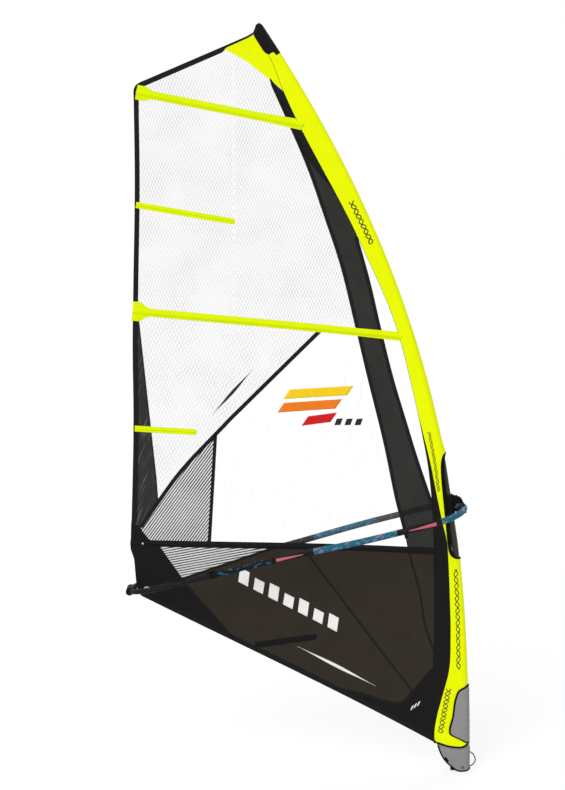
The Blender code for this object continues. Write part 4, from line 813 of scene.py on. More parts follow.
class Finishes:
    """All the rig's materials, each made once."""

    def __init__(self) -> None:
        """Build every finish."""
        self.neon = Cloth("neon_sleeve_cloth", NEON, NEON_SHADE, 0.5, gloss=0.05).make()
        self.pocket = Cloth(
            "neon_pocket_cloth", (0.80, 0.96, 0.0), (0.66, 0.84, 0.0), 0.5, Space.UV, gloss=0.05,
        ).make()
        self.black = Cloth("black_laminate", BLACK, BLACK_LIGHT, 0.5, crease_depth=0.0006, gloss=0.08).make()
        self.tape = Cloth("black_tape", BLACK, BLACK_LIGHT, 0.6, Space.UV, stitches=True).make()
        self.binding = Cloth("black_binding", BLACK, BLACK, 0.6, crease_depth=0.0004, gloss=0.05).make()
        self.foot = Cloth("foot_laminate", (0.020, 0.015, 0.010), (0.036, 0.028, 0.020), 0.38).make()
        self.grey = Cloth(
            "grey_padded_cloth", (0.245, 0.236, 0.240), (0.315, 0.303, 0.306), 0.85,
            thread=0.0022, crease_depth=0.0022,
        ).make()
        self.clear = Film(
            "clear_window_film", (0.96, 0.97, 0.98), (0.52, 0.53, 0.54), 0.016, 0.17,
            ((76.0, 0.105, 0.0022), (-72.0, 0.118, 0.0022)), 0.10,
        ).make()
        self.white = Film(
            "cross_ply_film", (0.93, 0.93, 0.94), (0.26, 0.26, 0.27), 0.12, 0.30,
            ((68.0, 0.0145, 0.0026), (-62.0, 0.0145, 0.0020)), seam_x=-1.206,
        ).make()
        self.mid = Film(
            "diagonal_ply_film", (0.93, 0.93, 0.94), (0.26, 0.26, 0.27), 0.12, 0.30,
            ((66.0, 0.0165, 0.0024), (-66.0, 0.0165, 0.0020), (41.0, 0.0200, 0.0016)),
        ).make()
        self.smoke = Film(
            "smoked_film", (0.020, 0.019, 0.016), (0.010, 0.010, 0.009), 0.82, 0.97,
            ((70.0, 0.006, 0.002), (-70.0, 0.006, 0.002)), 0.4, gloss=0.1,
        ).make()
        self.smoke_leech = Film(
            "smoked_leech_film", (0.020, 0.020, 0.017), (0.010, 0.010, 0.010), 0.86, 0.98,
            ((62.0, 0.006, 0.002),), 0.4, 0.35, gloss=0.1,
        ).make()
        self.mesh_upper = Film(
            "corner_strand_film", (0.90, 0.90, 0.91), (0.006, 0.006, 0.007), 0.16, 0.98,
            ((54.0, 0.0124, 0.0066), (-36.0, 0.0050, 0.0006)), fade=0.9,
        ).make()
        self.mesh_lower = Film(
            "clew_strand_film", (0.95, 0.95, 0.95), (0.006, 0.006, 0.007), 0.80, 0.98,
            ((10.0, 0.0130, 0.0062), (-80.0, 0.0050, 0.0006)), fade=0.9,
        ).make()
        # The grip's streaks are painted pink highlights on the near arm; the span after them is the far arm's
        # stretch, painted lighter grey.
        self.grip = Banded("grip_foam", (
            (0.0, BLUE, LILAC), (0.259, DARK, SHADOW), (0.492, BLUE, LILAC), (0.931, DARK, SHADOW),
            (1.150, DARK, (0.006, 0.10, 0.19)), (1.440, DARK, SHADOW),
        ), ((0.291, 0.433, 0.10, 0.02), (0.988, 1.133, 0.02, 0.09)), (-0.590, -0.259), 1.6).make()
        self.carbon = Moulded("carbon_tube", (0.020, 0.022, 0.010), (0.034, 0.034, 0.020), 0.36).make()
        self.plastic = Moulded(
            "moulded_black", (0.005, 0.005, 0.005), (0.012, 0.012, 0.012), 0.58, gloss=0.08,
        ).make()
        self.tube = Moulded("anodised_tube", BLACK, (0.010, 0.010, 0.010), 0.46, gloss=0.12).make()
        self.steel = Moulded(
            "stainless_steel", (0.62, 0.62, 0.64), (0.50, 0.50, 0.52), 0.26, 1.0, brushed=True,
        ).make()
        self.rod = Moulded("pultruded_rod", (0.70, 0.70, 0.60), (0.60, 0.60, 0.50), 0.35, brushed=True).make()
        self.rope = Braid("braided_line", (0.006, 0.006, 0.006), (0.022, 0.022, 0.022)).make()
        self.white_print = Moulded("white_print", (0.86, 0.86, 0.86), (0.78, 0.78, 0.78), 0.5).make()
        self.black_print = Moulded("black_print", (0.010, 0.010, 0.010), (0.018, 0.018, 0.018), 0.5).make()
        self.olive_print = Moulded("olive_print", (0.060, 0.070, 0.004), (0.10, 0.12, 0.008), 0.5).make()
        self.warm_print = tuple(
            Moulded(f"warm_print_{index}", colour, tuple(0.8 * part for part in colour), 0.45).make()
            for index, colour in enumerate(((0.90, 0.62, 0.0), (0.85, 0.20, 0.0), (0.62, 0.0, 0.0)))
        )


def attach(item: Item, body: str, nodes: Sequence[str] = ()) -> Item:
    """Let a piece ride on a body, and name its record slot and what it stands for.

    Args:
        item: the piece.
        body: the body.
        nodes: CAD nodes that it stands for.

    Returns:
        The same object.
    """
    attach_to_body(item, body)
    if nodes:
        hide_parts(*nodes)
    LOG.info("made %s on %s, standing for %s", item.name, body, ", ".join(nodes) or "no node")
    return item


def made(
    grid: Grid, name: str, finish: Material, body: str = RIG_BODY, nodes: Sequence[str] = (),
    wall: float = 0.0,
) -> Item:
    """Build a piece of one finish and attach it.

    Args:
        grid: its surface.
        name: its name.
        finish: its material.
        body: the body that it rides on.
        nodes: CAD nodes that it stands for.
        wall: thickness of an open sheet, or 0 for a closed surface.

    Returns:
        The new object.
    """
    item = grid.build(name, [finish])
    if wall:
        thickened(item, wall)
    return attach(item, body, nodes)


# Mast line and sail plane
@dataclass
class MastLine:
    """Bent line of the mast: a cubic curve, read at stations and run smoothly through them."""

    tip: Point = (-1.0991, 3.9133)
    tip_tilt: float = math.radians(34.14)
    foot_handle: float = 1.4468
    tip_handle: float = 1.5764
    straight_low: float = 1.275
    straight_high: float = 1.620
    station_step: float = 0.25
    top: float = 4.090
    foot_radius: float = 0.0240
    tip_radius: float = 0.0105
    taper_start: float = 1.700
    tube_end: float = 4.060
    stations: Array = field(init=False)
    knots: Array = field(init=False)

    def __post_init__(self) -> None:
        """Work out the stations' places: the curve's points at even arc lengths."""
        lean = np.array([-math.sin(self.tip_tilt), math.cos(self.tip_tilt)])
        low = np.array([0.0, self.foot_handle])
        high = np.array(self.tip) - self.tip_handle * lean
        t = np.linspace(0.0, 1.0, 4001)[:, None]
        back = 1.0 - t
        curve = 3 * back * back * t * low + 3 * back * t * t * high + t ** 3 * np.array(self.tip)
        walked = walked_along(curve)
        self.stations = np.concatenate([
            self.even(0.0, self.straight_low), self.even(self.straight_high, self.top),
        ])
        self.knots = read_between(walked, curve, self.stations)
        slopes = np.gradient(self.knots, self.stations, axis=0)
        low_index = int(np.searchsorted(self.stations, self.straight_high) - 1)
        run = self.knots[low_index + 1] - self.knots[low_index]
        slopes[low_index:low_index + 2] = run / (self.stations[low_index + 1] - self.stations[low_index])
        self.slopes = slopes

    def even(self, low: float, high: float) -> Array:
        """Even stations between two, no further apart than the step."""
        return np.linspace(low, high, math.ceil((high - low) / self.station_step) + 1)

    def read(self, station: Array) -> tuple[Array, Array]:
        """Centre and unit direction of the mast, on cubic runs between the knots.

        Args:
            station: stations, in any shape.

        Returns:
            The centres and the directions, with two coordinates each.
        """
        at = np.asarray(station, float)
        low = np.clip(np.searchsorted(self.stations, at, side="right") - 1, 0, len(self.stations) - 2)
        step = (self.stations[low + 1] - self.stations[low])[..., None]
        t = (at[..., None] - self.stations[low][..., None]) / step
        first, last = self.knots[low], self.knots[low + 1]
        start, end = self.slopes[low] * step, self.slopes[low + 1] * step
        rise = t * t * (3 - 2 * t)
        place = first + (last - first) * rise + start * t * (1 - t) ** 2 + end * t * t * (t - 1)
        run = (last - first) * 6 * t * (1 - t) + start * (1 - t) * (1 - 3 * t) + end * t * (3 * t - 2)
        return place, unit(run)

    def off(self, station: Array, aft: Array, side: Array) -> Array:
        """World points beside the mast: square to its line behind it, and off to one side.

        Args:
            station: stations.
            aft: how far behind the mast's centre.
            side: how far toward the far side.

        Returns:
            The points.
        """
        place, run = self.read(station)
        flat = place + np.asarray(aft, float)[..., None] * stacked(-run[..., 1], run[..., 0])
        return stacked(flat[..., 0], side, flat[..., 1])

    def radius(self, station: Array) -> Array:
        """Outer radius of the mast at stations."""
        share = (np.asarray(station, float) - self.taper_start) / (self.tube_end - self.taper_start)
        return self.foot_radius + (self.tip_radius - self.foot_radius) * np.clip(share, 0.0, 1.0)


REAR_STATIONS = (0.15, 0.55, 0.93, 1.20, 1.47, 1.86, 2.08, 2.40, 2.90, 3.75, 3.95, 4.09)
REAR_DEPTHS = (0.155, 0.152, 0.126, 0.104, 0.078, 0.066, 0.062, 0.052, 0.074, 0.073, 0.040, 0.042)
CAP_STATIONS = (3.922, 3.934, 3.944, 3.953, 3.966, 3.980, 4.060, 4.080, 4.090, 4.106)
CAP_DEPTHS = (0.018, 0.026, 0.036, 0.044, 0.0495, 0.0515, 0.0505, 0.0455, 0.030, 0.010)
NEON_STATIONS = (
    0.15, 0.167, 0.204, 0.299, 0.425, 0.544, 0.735, 0.932, 1.147, 1.262, 1.352, 1.50,
    1.677, 1.806, 2.081,
)
NEON_DEPTHS = (
    0.134, 0.1505, 0.1525, 0.139, 0.105, 0.0725, 0.055, 0.046, 0.036, 0.033, 0.040, 0.048,
    0.055, 0.060, 0.066,
)


@dataclass
class SailPlane:
    """The sail's flat layout and its belly."""

    mast: MastLine
    belly_share: float = 0.022
    twist: float = 0.045
    leech_head: Point = (-1.700, 3.586)
    leech_low: Point = (-1.757, 1.200)
    clew_foot: Point = (-1.700, 0.951)
    tack_foot: Point = (-0.140, 0.146)
    foot_tape: float = 0.027
    batten_head: Line = ((-1.700, 3.550), (-0.862, 3.386))
    batten_mid: Line = ((-1.730, 2.444), (-0.358, 2.314))
    batten_low: Line = ((-1.754, 1.233), (-0.178, 1.188))

    def __post_init__(self) -> None:
        """Work out the sleeve's rear edge and the sail's own outline."""
        self.rear = self.rear_part(self.mast.top, REAR_STATIONS[0], 700)
        self.leech = rounded((
            (-1.711, 3.549), (-1.709, 3.110), (-1.722, 2.552), (-1.728, 2.296), (-1.728, 1.881),
            (-1.747, 1.248),
        ))

    def depth(self, station: Array) -> Array:
        """Depth of the sleeve's rear edge behind the mast's centre."""
        return through(REAR_STATIONS, REAR_DEPTHS, np.asarray(station, float))

    def rear_part(self, high: float, low: float, count: int = 200) -> Array:
        """Sleeve's rear edge from a high station down to a low one."""
        stations = np.linspace(high, low, count)
        return self.mast.off(stations, self.depth(stations), 0.0)[:, [0, 2]]

    def belly(self, x: Array, z: Array) -> Array:
        """Camber: a cubic of the chord share, deepest a third aft, plus the leech falling off at the head.

        The cubic is share times (1 - share) squared, times 6.75, which makes its highest value one.

        Args:
            x: places along the sail plane.
            z: their heights.

        Returns:
            How far the sail lies toward the far side there.
        """
        luff = np.interp(z, self.rear[::-1, 1], self.rear[::-1, 0])
        (hx, hz), (lx, lz) = self.leech_head, self.leech_low
        leech = lx + (hx - lx) * (np.maximum(z, self.clew_foot[1]) - lz) / (hz - lz)
        chord = np.maximum(luff - leech, 0.05)
        share = np.clip((luff - x) / chord, 0.0, 1.0)
        rise = np.maximum(z - lz, 0.0) / (hz - lz)
        camber = self.belly_share * chord * 6.75 * share * (1.0 - share) ** 2
        return camber + self.twist * share * share * rise * rise

    def lifted(self, flat: Array, lift: Array | float = 0.0) -> Array:
        """Points of the sail plane carried onto the belly, moved to the near side by the lift."""
        return stacked(flat[..., 0], self.belly(flat[..., 0], flat[..., 1]) - lift, flat[..., 1])


@dataclass
class SailMaker:
    """Cuts the sail's sheets: panels ruled between two edges, and strips along a path."""

    plane: SailPlane
    film: float = 0.0008
    tape: float = 0.0022
    patch: float = 0.0018

    def panel(
        self, name: str, first: Array, last: Array, material: Material,
        wall: float, rows: int = 70, columns: int = 60, lift: float = 0.0,
    ) -> Sheet:
        """Sheet ruled between two edges: each point lies a share of the way from one to the other.

        Args:
            name: the piece's name.
            first: one edge, as a flat path.
            last: the other edge, run the same way.
            material: its finish.
            wall: its thickness.
            rows: points along the edges.
            columns: points from edge to edge.
            lift: how far its middle lies toward the near side.

        Returns:
            The object and its flat points.
        """
        a, b = resample(first, rows), resample(last, rows)
        share = np.linspace(0.0, 1.0, columns)[None, :, None]
        flat = a[:, None, :] * (1.0 - share) + b[:, None, :] * share
        item = Grid(self.plane.lifted(flat, lift), uv=flat).build(name, [material])
        return thickened(item, wall), flat

    def strip(
        self, name: str, path: Array, width: Width | float,
        material: Material, wall: float, lift: float = 0.0, crown: float = 0.0,
        crown_width: float = 1.0, rows: int = 160, columns: int = 9,
    ) -> Sheet:
        """Band along a path, whose middle may stand proud in a rounded crown.

        Args:
            name: the piece's name.
            path: its centre line in the sail plane.
            width: full width, or a function of the share along the path.
            material: its finish.
            wall: its thickness.
            lift: how far it lies toward the near side.
            crown: height of the rounded middle.
            crown_width: share of the width that the crown takes.
            rows: points along it.
            columns: points across it.

        Returns:
            The object and its flat points.
        """
        centre = resample(path, rows)
        share = np.linspace(0.0, 1.0, rows)
        wide = width(share) if callable(width) else np.full(rows, width)
        across = np.linspace(-0.5, 0.5, columns)
        flat = centre[:, None, :] + (wide[:, None] * across)[..., None] * normals_of(centre)[:, None, :]
        half = crown_width * (np.min(wide) / wide)[:, None] / 2
        bulge = crown * (0.5 + 0.5 * np.cos(math.pi * np.clip(across[None, :] / half, -1.0, 1.0))) ** 0.7
        points = self.plane.lifted(flat, lift + bulge)
        uv = stacked(walked_along(centre)[:, None], wide[:, None] * across)
        item = Grid(points, uv=uv).build(name, [material])
        return thickened(item, wall), flat


def declared(sheet: Sheet, nodes: Sequence[str]) -> None:
    """Attach a sheet and work out its flat size: the smallest box round its cut, which is made narrower for a
    long bent tape.

    Args:
        sheet: the object and its flat points, rows by columns.
        nodes: CAD nodes that it stands for.
    """
    item, flat = sheet
    attach(item, RIG_BODY, nodes)
    a, b, c, d = flat[:-1, :-1], flat[:-1, 1:], flat[1:, 1:], flat[1:, :-1]
    first, second = c - a, d - b
    area = float(np.abs(first[..., 0] * second[..., 1] - first[..., 1] * second[..., 0]).sum() / 2)
    boxes = []
    for angle in np.radians(range(0, 180, 5)):
        turn = np.array([[math.cos(angle), -math.sin(angle)], [math.sin(angle), math.cos(angle)]])
        boxes.append(np.ptp(flat.reshape(-1, 2) @ turn, axis=0))
    width, length = sorted(float(value) for value in min(boxes, key=np.prod))
    width = min(width, area / LEAST_FILL / length)


@dataclass
class SailCloth:
    """The sail's panels, patches, tapes, seams and pockets."""

    maker: SailMaker
    finishes: Finishes
    border: float = 0.019
    window_high: float = 2.935
    window_low: float = 1.470
    pocket_width: float = 0.041
    pocket_height: float = 0.0078
    pocket_tuck: float = 0.024
    rod_start: float = 0.034
    cover: float = 0.0009
    cover_lift: float = 0.0016

    def __post_init__(self) -> None:
        """Lay out the seams that panels share."""
        plane = self.maker.plane
        self.luff_aft = rounded((
            (-1.026, 3.614), (-0.938, 3.421), (-0.828, 3.165), (-0.739, 2.913), (-0.670, 2.709),
            (-0.580, 2.356), (-0.524, 2.125), (-0.425, 1.727), (-0.370, 1.466), (-0.309, 1.222),
            (-0.300, 1.170),
        ))
        high, low = plane.rear_part(self.window_high, self.window_high), plane.rear_part(self.window_low, 1.4)
        self.window_aft = rounded((
            tuple(high[0]), (-0.519, 2.614), (-0.454, 2.346), (-0.386, 2.083), (-0.322, 1.874),
            (-0.265, 1.692), tuple(low[0]),
        ))
        self.diagonal = joined(
            straight((-0.753, 2.352), (-1.231, 1.881)),
            rounded(((-1.231, 1.881), (-1.518, 1.569), (-1.606, 1.446), (-1.697, 1.316))),
        )
        self.seam_head = (-1.305, 1.806)
        self.seam_foot = (-1.341, 1.221)
        self.clew_corner = (-1.612, 1.226)
        self.mesh_tip = (-0.965, 1.212)
        self.clew_inner = straight((-1.697, 1.316), (-1.690, 1.297), (-1.656, 1.254), self.clew_corner)
        self.clew_lower = rounded((self.clew_corner, (-1.484, 1.038), (-1.302, 0.819), (-1.215, 0.712)))
        self.seam_aft = rounded(((-0.860, 1.208), (-0.645, 0.920), (-0.465, 0.679), (-0.272, 0.428)))
        rear_fore = plane.rear_part(0.66, 0.60)
        self.seam_fore = rounded(((-0.300, 1.192), (-0.232, 0.927), (-0.212, 0.797), tuple(rear_fore[0])))
        self.tack_border = rounded((
            (-0.272, 0.428), (-0.333, 0.365), (-0.412, 0.372), (-0.528, 0.408), (-0.668, 0.437),
        ))
        self.leech_border = straight((-1.701, 2.441), (-1.614, 1.572), (-1.606, 1.446))
        self.foot = straight(plane.clew_foot, plane.tack_foot)
        self.patch_border = rounded(((-1.254, 3.764), (-1.147, 3.706), (-1.061, 3.641), (-1.026, 3.614)))

    def upper(self) -> None:
        """Films above the lowest batten."""
        plane, maker, looks = self.maker.plane, self.maker, self.finishes
        head, mid, low = plane.batten_head, plane.batten_mid, plane.batten_low
        rear = plane.rear

        patch_rear = cut(rear, ((-1.136, 3.790), (-0.900, 3.900)), level(3.532))
        patch_rear = patch_rear + 0.014 * normals_of(patch_rear)
        upper = joined(straight((-1.254, 3.764), (-1.118, 3.832)), patch_rear)
        lower = joined(self.patch_border, straight((-1.026, 3.614), tuple(patch_rear[-1])))
        declared(maker.panel("head_reinforcement", lower, upper, looks.neon, maker.patch),
                 ["head_patch"])

        aft_top = between(self.luff_aft, 0.0, where_crossed(self.luff_aft, head))
        batten = straight(head[0], tuple(aft_top[-1]))
        top = joined(straight((-1.700, 3.586), (-1.254, 3.764)), self.patch_border, aft_top)
        declared(maker.panel("head_film", batten, top, looks.white, maker.film),
                 ["top_panel"])

        leech = joined(straight((-1.712, 3.549)), plane.leech)
        aft = cut(self.luff_aft, head, mid)
        declared(maker.panel("upper_film", cut(leech, head, mid), aft, looks.white, maker.film, 100, 80),
                 ["upper_panel"])

        fore = joined(
            cut(rear, level(3.554), level(self.window_aft[0][1])), self.window_aft,
            cut(rear, level(self.window_aft[-1][1]), low),
        )
        whole_aft = between(self.luff_aft, 0.0, where_crossed(self.luff_aft, low))
        declared(maker.panel("luff_film", whole_aft, fore, looks.smoke, maker.film, 260, 24),
                 ["luff_panel"])
        aft = self.window_aft
        fore = cut(rear, level(aft[0][1]), level(aft[-1][1]))
        declared(maker.panel("luff_window_film", aft, fore, looks.clear, maker.film, 120, 16),
                 ["luff_window"])

        border = self.leech_border
        meets = where_crossed(self.diagonal, level(1.446))
        right = between(self.diagonal, where_crossed(self.diagonal, mid), meets)
        declared(maker.panel("mid_film", border, right, looks.mid, maker.film, 100, 80),
                 ["mid_panel"])
        outer = cut(leech, mid, level(1.344))
        tail = between(self.diagonal, meets, len(self.diagonal) - 1)
        inner = joined(border, tail, straight((-1.704, 1.300)), outer[-1:])
        declared(maker.panel("leech_film", outer, inner, looks.smoke_leech, maker.film, 120, 24),
                 ["leech_panel"])

        seam = where_crossed(self.diagonal, upright(self.seam_head[0]))
        left = joined(cut(self.diagonal, mid, upright(self.seam_head[0])), straight(self.seam_foot))
        right = cut(self.luff_aft, mid, low)
        declared(maker.panel("window_film", left, right, looks.clear, maker.film, 100, 80),
                 ["window_panel"])
        left = joined(between(self.diagonal, seam, len(self.diagonal) - 1), self.clew_inner)
        right = joined(left[:1], straight(self.seam_foot))
        declared(maker.panel("corner_strand_film", left, right, looks.mesh_upper, maker.film, 160, 40),
                 ["mesh_panel_upper"])

    def lower(self) -> None:
        """Clew patch, foot panels and tack patch."""
        plane, maker, looks = self.maker.plane, self.maker, self.finishes
        rear, low = plane.rear, plane.batten_low
        foot = resample(self.foot, 400)
        foot_at = where_crossed(foot, upright(self.clew_lower[-1][0]))
        outer = joined(
            straight((-1.746, 1.344), (-1.751, 1.201), (-1.733, 1.147), (-1.722, 1.003), (-1.703, 0.955)),
            between(foot, 2.0, foot_at),
        )
        inner = joined(straight((-1.746, 1.344)), self.clew_inner, self.clew_lower, outer[-1:])
        declared(maker.panel("clew_reinforcement", outer, inner, looks.black, maker.patch, 160, 50),
                 ["clew_patch"])
        left, right = (straight(self.clew_corner, tip) for tip in ((-1.484, 1.038), self.mesh_tip))
        declared(maker.panel("clew_strand_film", left, right, looks.mesh_lower, maker.film, 40, 60),
                 ["mesh_panel_lower"])
        tack_at = where_crossed(foot, upright(-0.668))
        start = where_crossed(self.clew_lower, upright(-1.484))
        left = joined(
            straight(self.mesh_tip), between(self.clew_lower, start, len(self.clew_lower) - 1),
            between(foot, foot_at, tack_at), self.tack_border[::-1],
        )
        right = joined(straight(self.mesh_tip), self.seam_aft)
        declared(maker.panel("foot_laminate_aft", left, right, looks.foot, maker.film, 140, 70),
                 ["foot_panel_aft"])
        right = joined(self.seam_fore, plane.rear_part(0.66, 0.575))
        declared(maker.panel("foot_laminate_mid", self.seam_aft, right, looks.foot, maker.film, 100, 50),
                 ["foot_panel_mid"])
        luff = cut(rear, low, level(float(self.seam_fore[-1][1])))
        declared(maker.panel("foot_laminate_fore", self.seam_fore, luff, looks.foot, maker.film, 80, 16),
                 ["foot_panel_fore"])
        upper = joined(plane.rear_part(0.575, 0.575)[:1], self.tack_border)
        luff = plane.rear_part(0.575, 0.17)
        base = joined(luff, between(foot, len(foot) - 12.0, tack_at))
        declared(maker.panel("tack_reinforcement", upper, base, looks.black, maker.patch, 100, 40),
                 ["tack_patch"])

    def edge_path(self) -> Array:
        """Outer edge of the leech and head, from the clew up and forward to the head.

        Returns:
            The edge, as a flat path.
        """
        leech = self.maker.plane.leech[::-1]
        leech = leech[leech[:, 1] > 1.35]
        corner = rounded(
            ((-1.712, 3.540), (-1.710, 3.566), (-1.699, 3.586), (-1.676, 3.600), (-1.640, 3.615)), 40,
        )
        top = straight((-1.640, 3.615), (-1.136, 3.826))
        return joined(straight((-1.746, 1.344)), leech[:-4], corner, top, straight((-1.106, 3.843)))

    def tapes(self) -> None:
        """Edge tapes and the black tapes over the seams."""
        plane, maker, looks = self.maker.plane, self.maker, self.finishes
        outer = resample(self.edge_path(), 300)
        share = np.linspace(0.0, 1.0, len(outer))
        wide = np.interp(share, (0.0, 0.32, 0.72, 0.80, 0.939, 0.946, 1.0),
                         (0.028, 0.026, 0.025, 0.027, 0.026, 0.012, 0.010))
        inner = outer - wide[:, None] * normals_of(outer)
        declared(maker.panel("leech_and_head_tape", outer, inner, looks.tape, maker.tape, 300, 7),
                 ["edge_tape"])
        foot = resample(self.foot, 200)
        inner = foot + plane.foot_tape * normals_of(foot)
        declared(maker.panel("foot_edge_tape", foot, inner, looks.tape, maker.tape, 160, 7),
                 ["foot_tape"])
        start = where_crossed(self.diagonal, plane.batten_mid)
        path = between(self.diagonal, start, len(self.diagonal) - 1)
        declared(maker.strip("diagonal_tape", path, 0.021, looks.tape, maker.tape),
                 ["diagonal_seam_tape"])
        path = straight(self.seam_head, self.seam_foot)
        declared(maker.strip("vertical_tape", path, 0.018, looks.tape, maker.tape),
                 ["vertical_seam_tape"])
        rear = plane.rear
        fore = cut(rear, level(3.540), level(3.042))
        aft = joined(cut(self.luff_aft, level(3.590), level(3.241)), fore[-1:])
        declared(maker.panel("luff_head_cloth", aft, fore, looks.tape, maker.tape, 100, 12),
                 [])
        aft = between(self.luff_aft, 0.0, len(self.luff_aft) - 14)
        high = cut(rear, level(3.070), level(self.window_aft[0][1]))
        borders = {
            "luff_film_border_aft": (aft, self.border, 0.3, "luff_film"),
            "luff_film_border_fore": (self.window_aft, self.border, -0.3, "luff_film"),
            "luff_border_high": (high, self.border, 0.4, "luff_film"),
            "clew_border": (self.clew_lower, 0.010, 0.0, "clew_reinforcement"),
            "foot_seam_aft": (self.seam_aft, 0.011, 0.0, "foot_laminate_aft"),
            "foot_seam_fore": (self.seam_fore, 0.011, 0.0, "foot_laminate_fore"),
            "tack_border": (self.tack_border, 0.010, 0.0, "tack_reinforcement"),
            "leech_film_border": (self.leech_border, 0.006, 0.0, "leech_film"),
            "clew_film_border": (straight((-1.484, 1.038), self.mesh_tip), 0.014, 0.0, "clew_strand_film"),
        }
        for name, (path, width, shift, under) in borders.items():
            dense = resample(path, 160)
            dense = dense + shift * width * normals_of(dense)
            border = maker.strip(name, dense, self.pointed(width), looks.tape, maker.tape)
            declared(border, [])

    @staticmethod
    def pointed(wide: float) -> Width:
        """Width of a border: even, drawn to a point at its start."""
        return lambda share: wide * np.interp(share, (0.0, 0.013), (0.15, 1.0))

    def pocket_end(self, line: Line) -> Point:
        """Where a batten line meets the sleeve's rear edge."""
        return tuple(cut(self.maker.plane.rear, line, line, 2)[0])

    def battens(self) -> None:
        """Batten pockets with their flared leech ends, and the short leech and foot battens."""
        plane, maker, looks = self.maker.plane, self.maker, self.finishes
        rows = (
            ("batten_head", plane.batten_head, looks.pocket, "neon_cloth", 0.074, 0.052, "upper_film"),
            ("batten_mid", plane.batten_mid, looks.pocket, "neon_cloth", 0.100, 0.046, "upper_film"),
            ("batten_low", plane.batten_low, looks.black, "black_cloth", 0.034, 0.036, "window_film"),
        )
        for name, line, material, slot, flare, fore, under in rows:
            (x, z), end = line[0], self.pocket_end(line)
            length = math.dist((x, z), end)
            end = (end[0] + self.pocket_tuck, end[1] + self.pocket_tuck * (end[1] - z) / length)
            pocket = maker.strip(
                name + "_sleeve", straight((x + 0.003, z), end), self.flared(length, flare, fore), material,
                self.cover, self.cover_lift, self.pocket_height, 0.80, 260, 25,
            )
            declared(pocket, [name + "_pocket"])
            slope = (end[1] - z) / (end[0] - x)
            inner = (x + self.rod_start, z + self.rod_start * slope)
            rod, _ = maker.strip(
                name + "_rod", straight(inner, end), 0.010, looks.rod, 0.0026, 0.0040, columns=5,
            )
            attach(rod, RIG_BODY, [name])
        high, low = ((-1.704, 2.984), (-1.200, 2.898)), ((-1.722, 1.836), (-1.400, 1.815))
        foot = ((-1.103, 0.677), (-0.777, 0.719))
        short = (
            ("mini_batten_high", high, looks.pocket, "neon_cloth", "upper_film"),
            ("mini_batten_low", low, looks.pocket, "neon_cloth", "mid_film"),
            ("foot_batten", foot, looks.black, "black_cloth", "foot_laminate_aft"),
        )
        for name, line, material, slot, under in short:
            width = self.end_rounding(math.dist(*line))
            cover = maker.strip(
                name + "_cover", straight(*line), width, material,
                self.cover, self.cover_lift, 0.0046, 0.85, 120, 17,
            )
            declared(cover, [name])

    def flared(self, length: float, flare: float, fore: float) -> Width:
        """Width of a pocket: wide at the leech, easing to its even run, and to its own width at the sleeve.

        Args:
            length: the pocket's length.
            flare: its width at the leech.
            fore: its width at the sleeve.

        Returns:
            The width as a function of the share along it.
        """
        base = min(flare, self.pocket_width)

        def width(share: Array) -> Array:
            """Even width, with an eased change near both ends.

            Args:
                share: places along the pocket, from 0 to 1.

            Returns:
                The width at each.
            """
            run = share * length
            taper = 1.0 - smoothstep((run - 0.030) / 0.060)
            grow = smoothstep((run - length + 0.25) / 0.25)
            return base + (flare - base) * taper + (fore - base) * grow
        return width

    @staticmethod
    def end_rounding(length: float, wide: float = 0.031) -> Width:
        """Width of a short batten cover: even, with its forward end closed in a round.

        Args:
            length: the cover's length.
            wide: its even width.

        Returns:
            The width as a function of the share along it.
        """
        def width(share: Array) -> Array:
            """Circle's half chord over the last half width of the run."""
            left = np.clip((1.0 - share) * length / (wide / 2), 0.0, 1.0)
            return wide * np.sqrt(np.clip(1.0 - (1.0 - left) ** 2, 0.04, 1.0))
        return width

    def build(self) -> None:
        """Make every sheet of the sail."""
        self.upper()
        self.lower()
        self.tapes()
        self.battens()


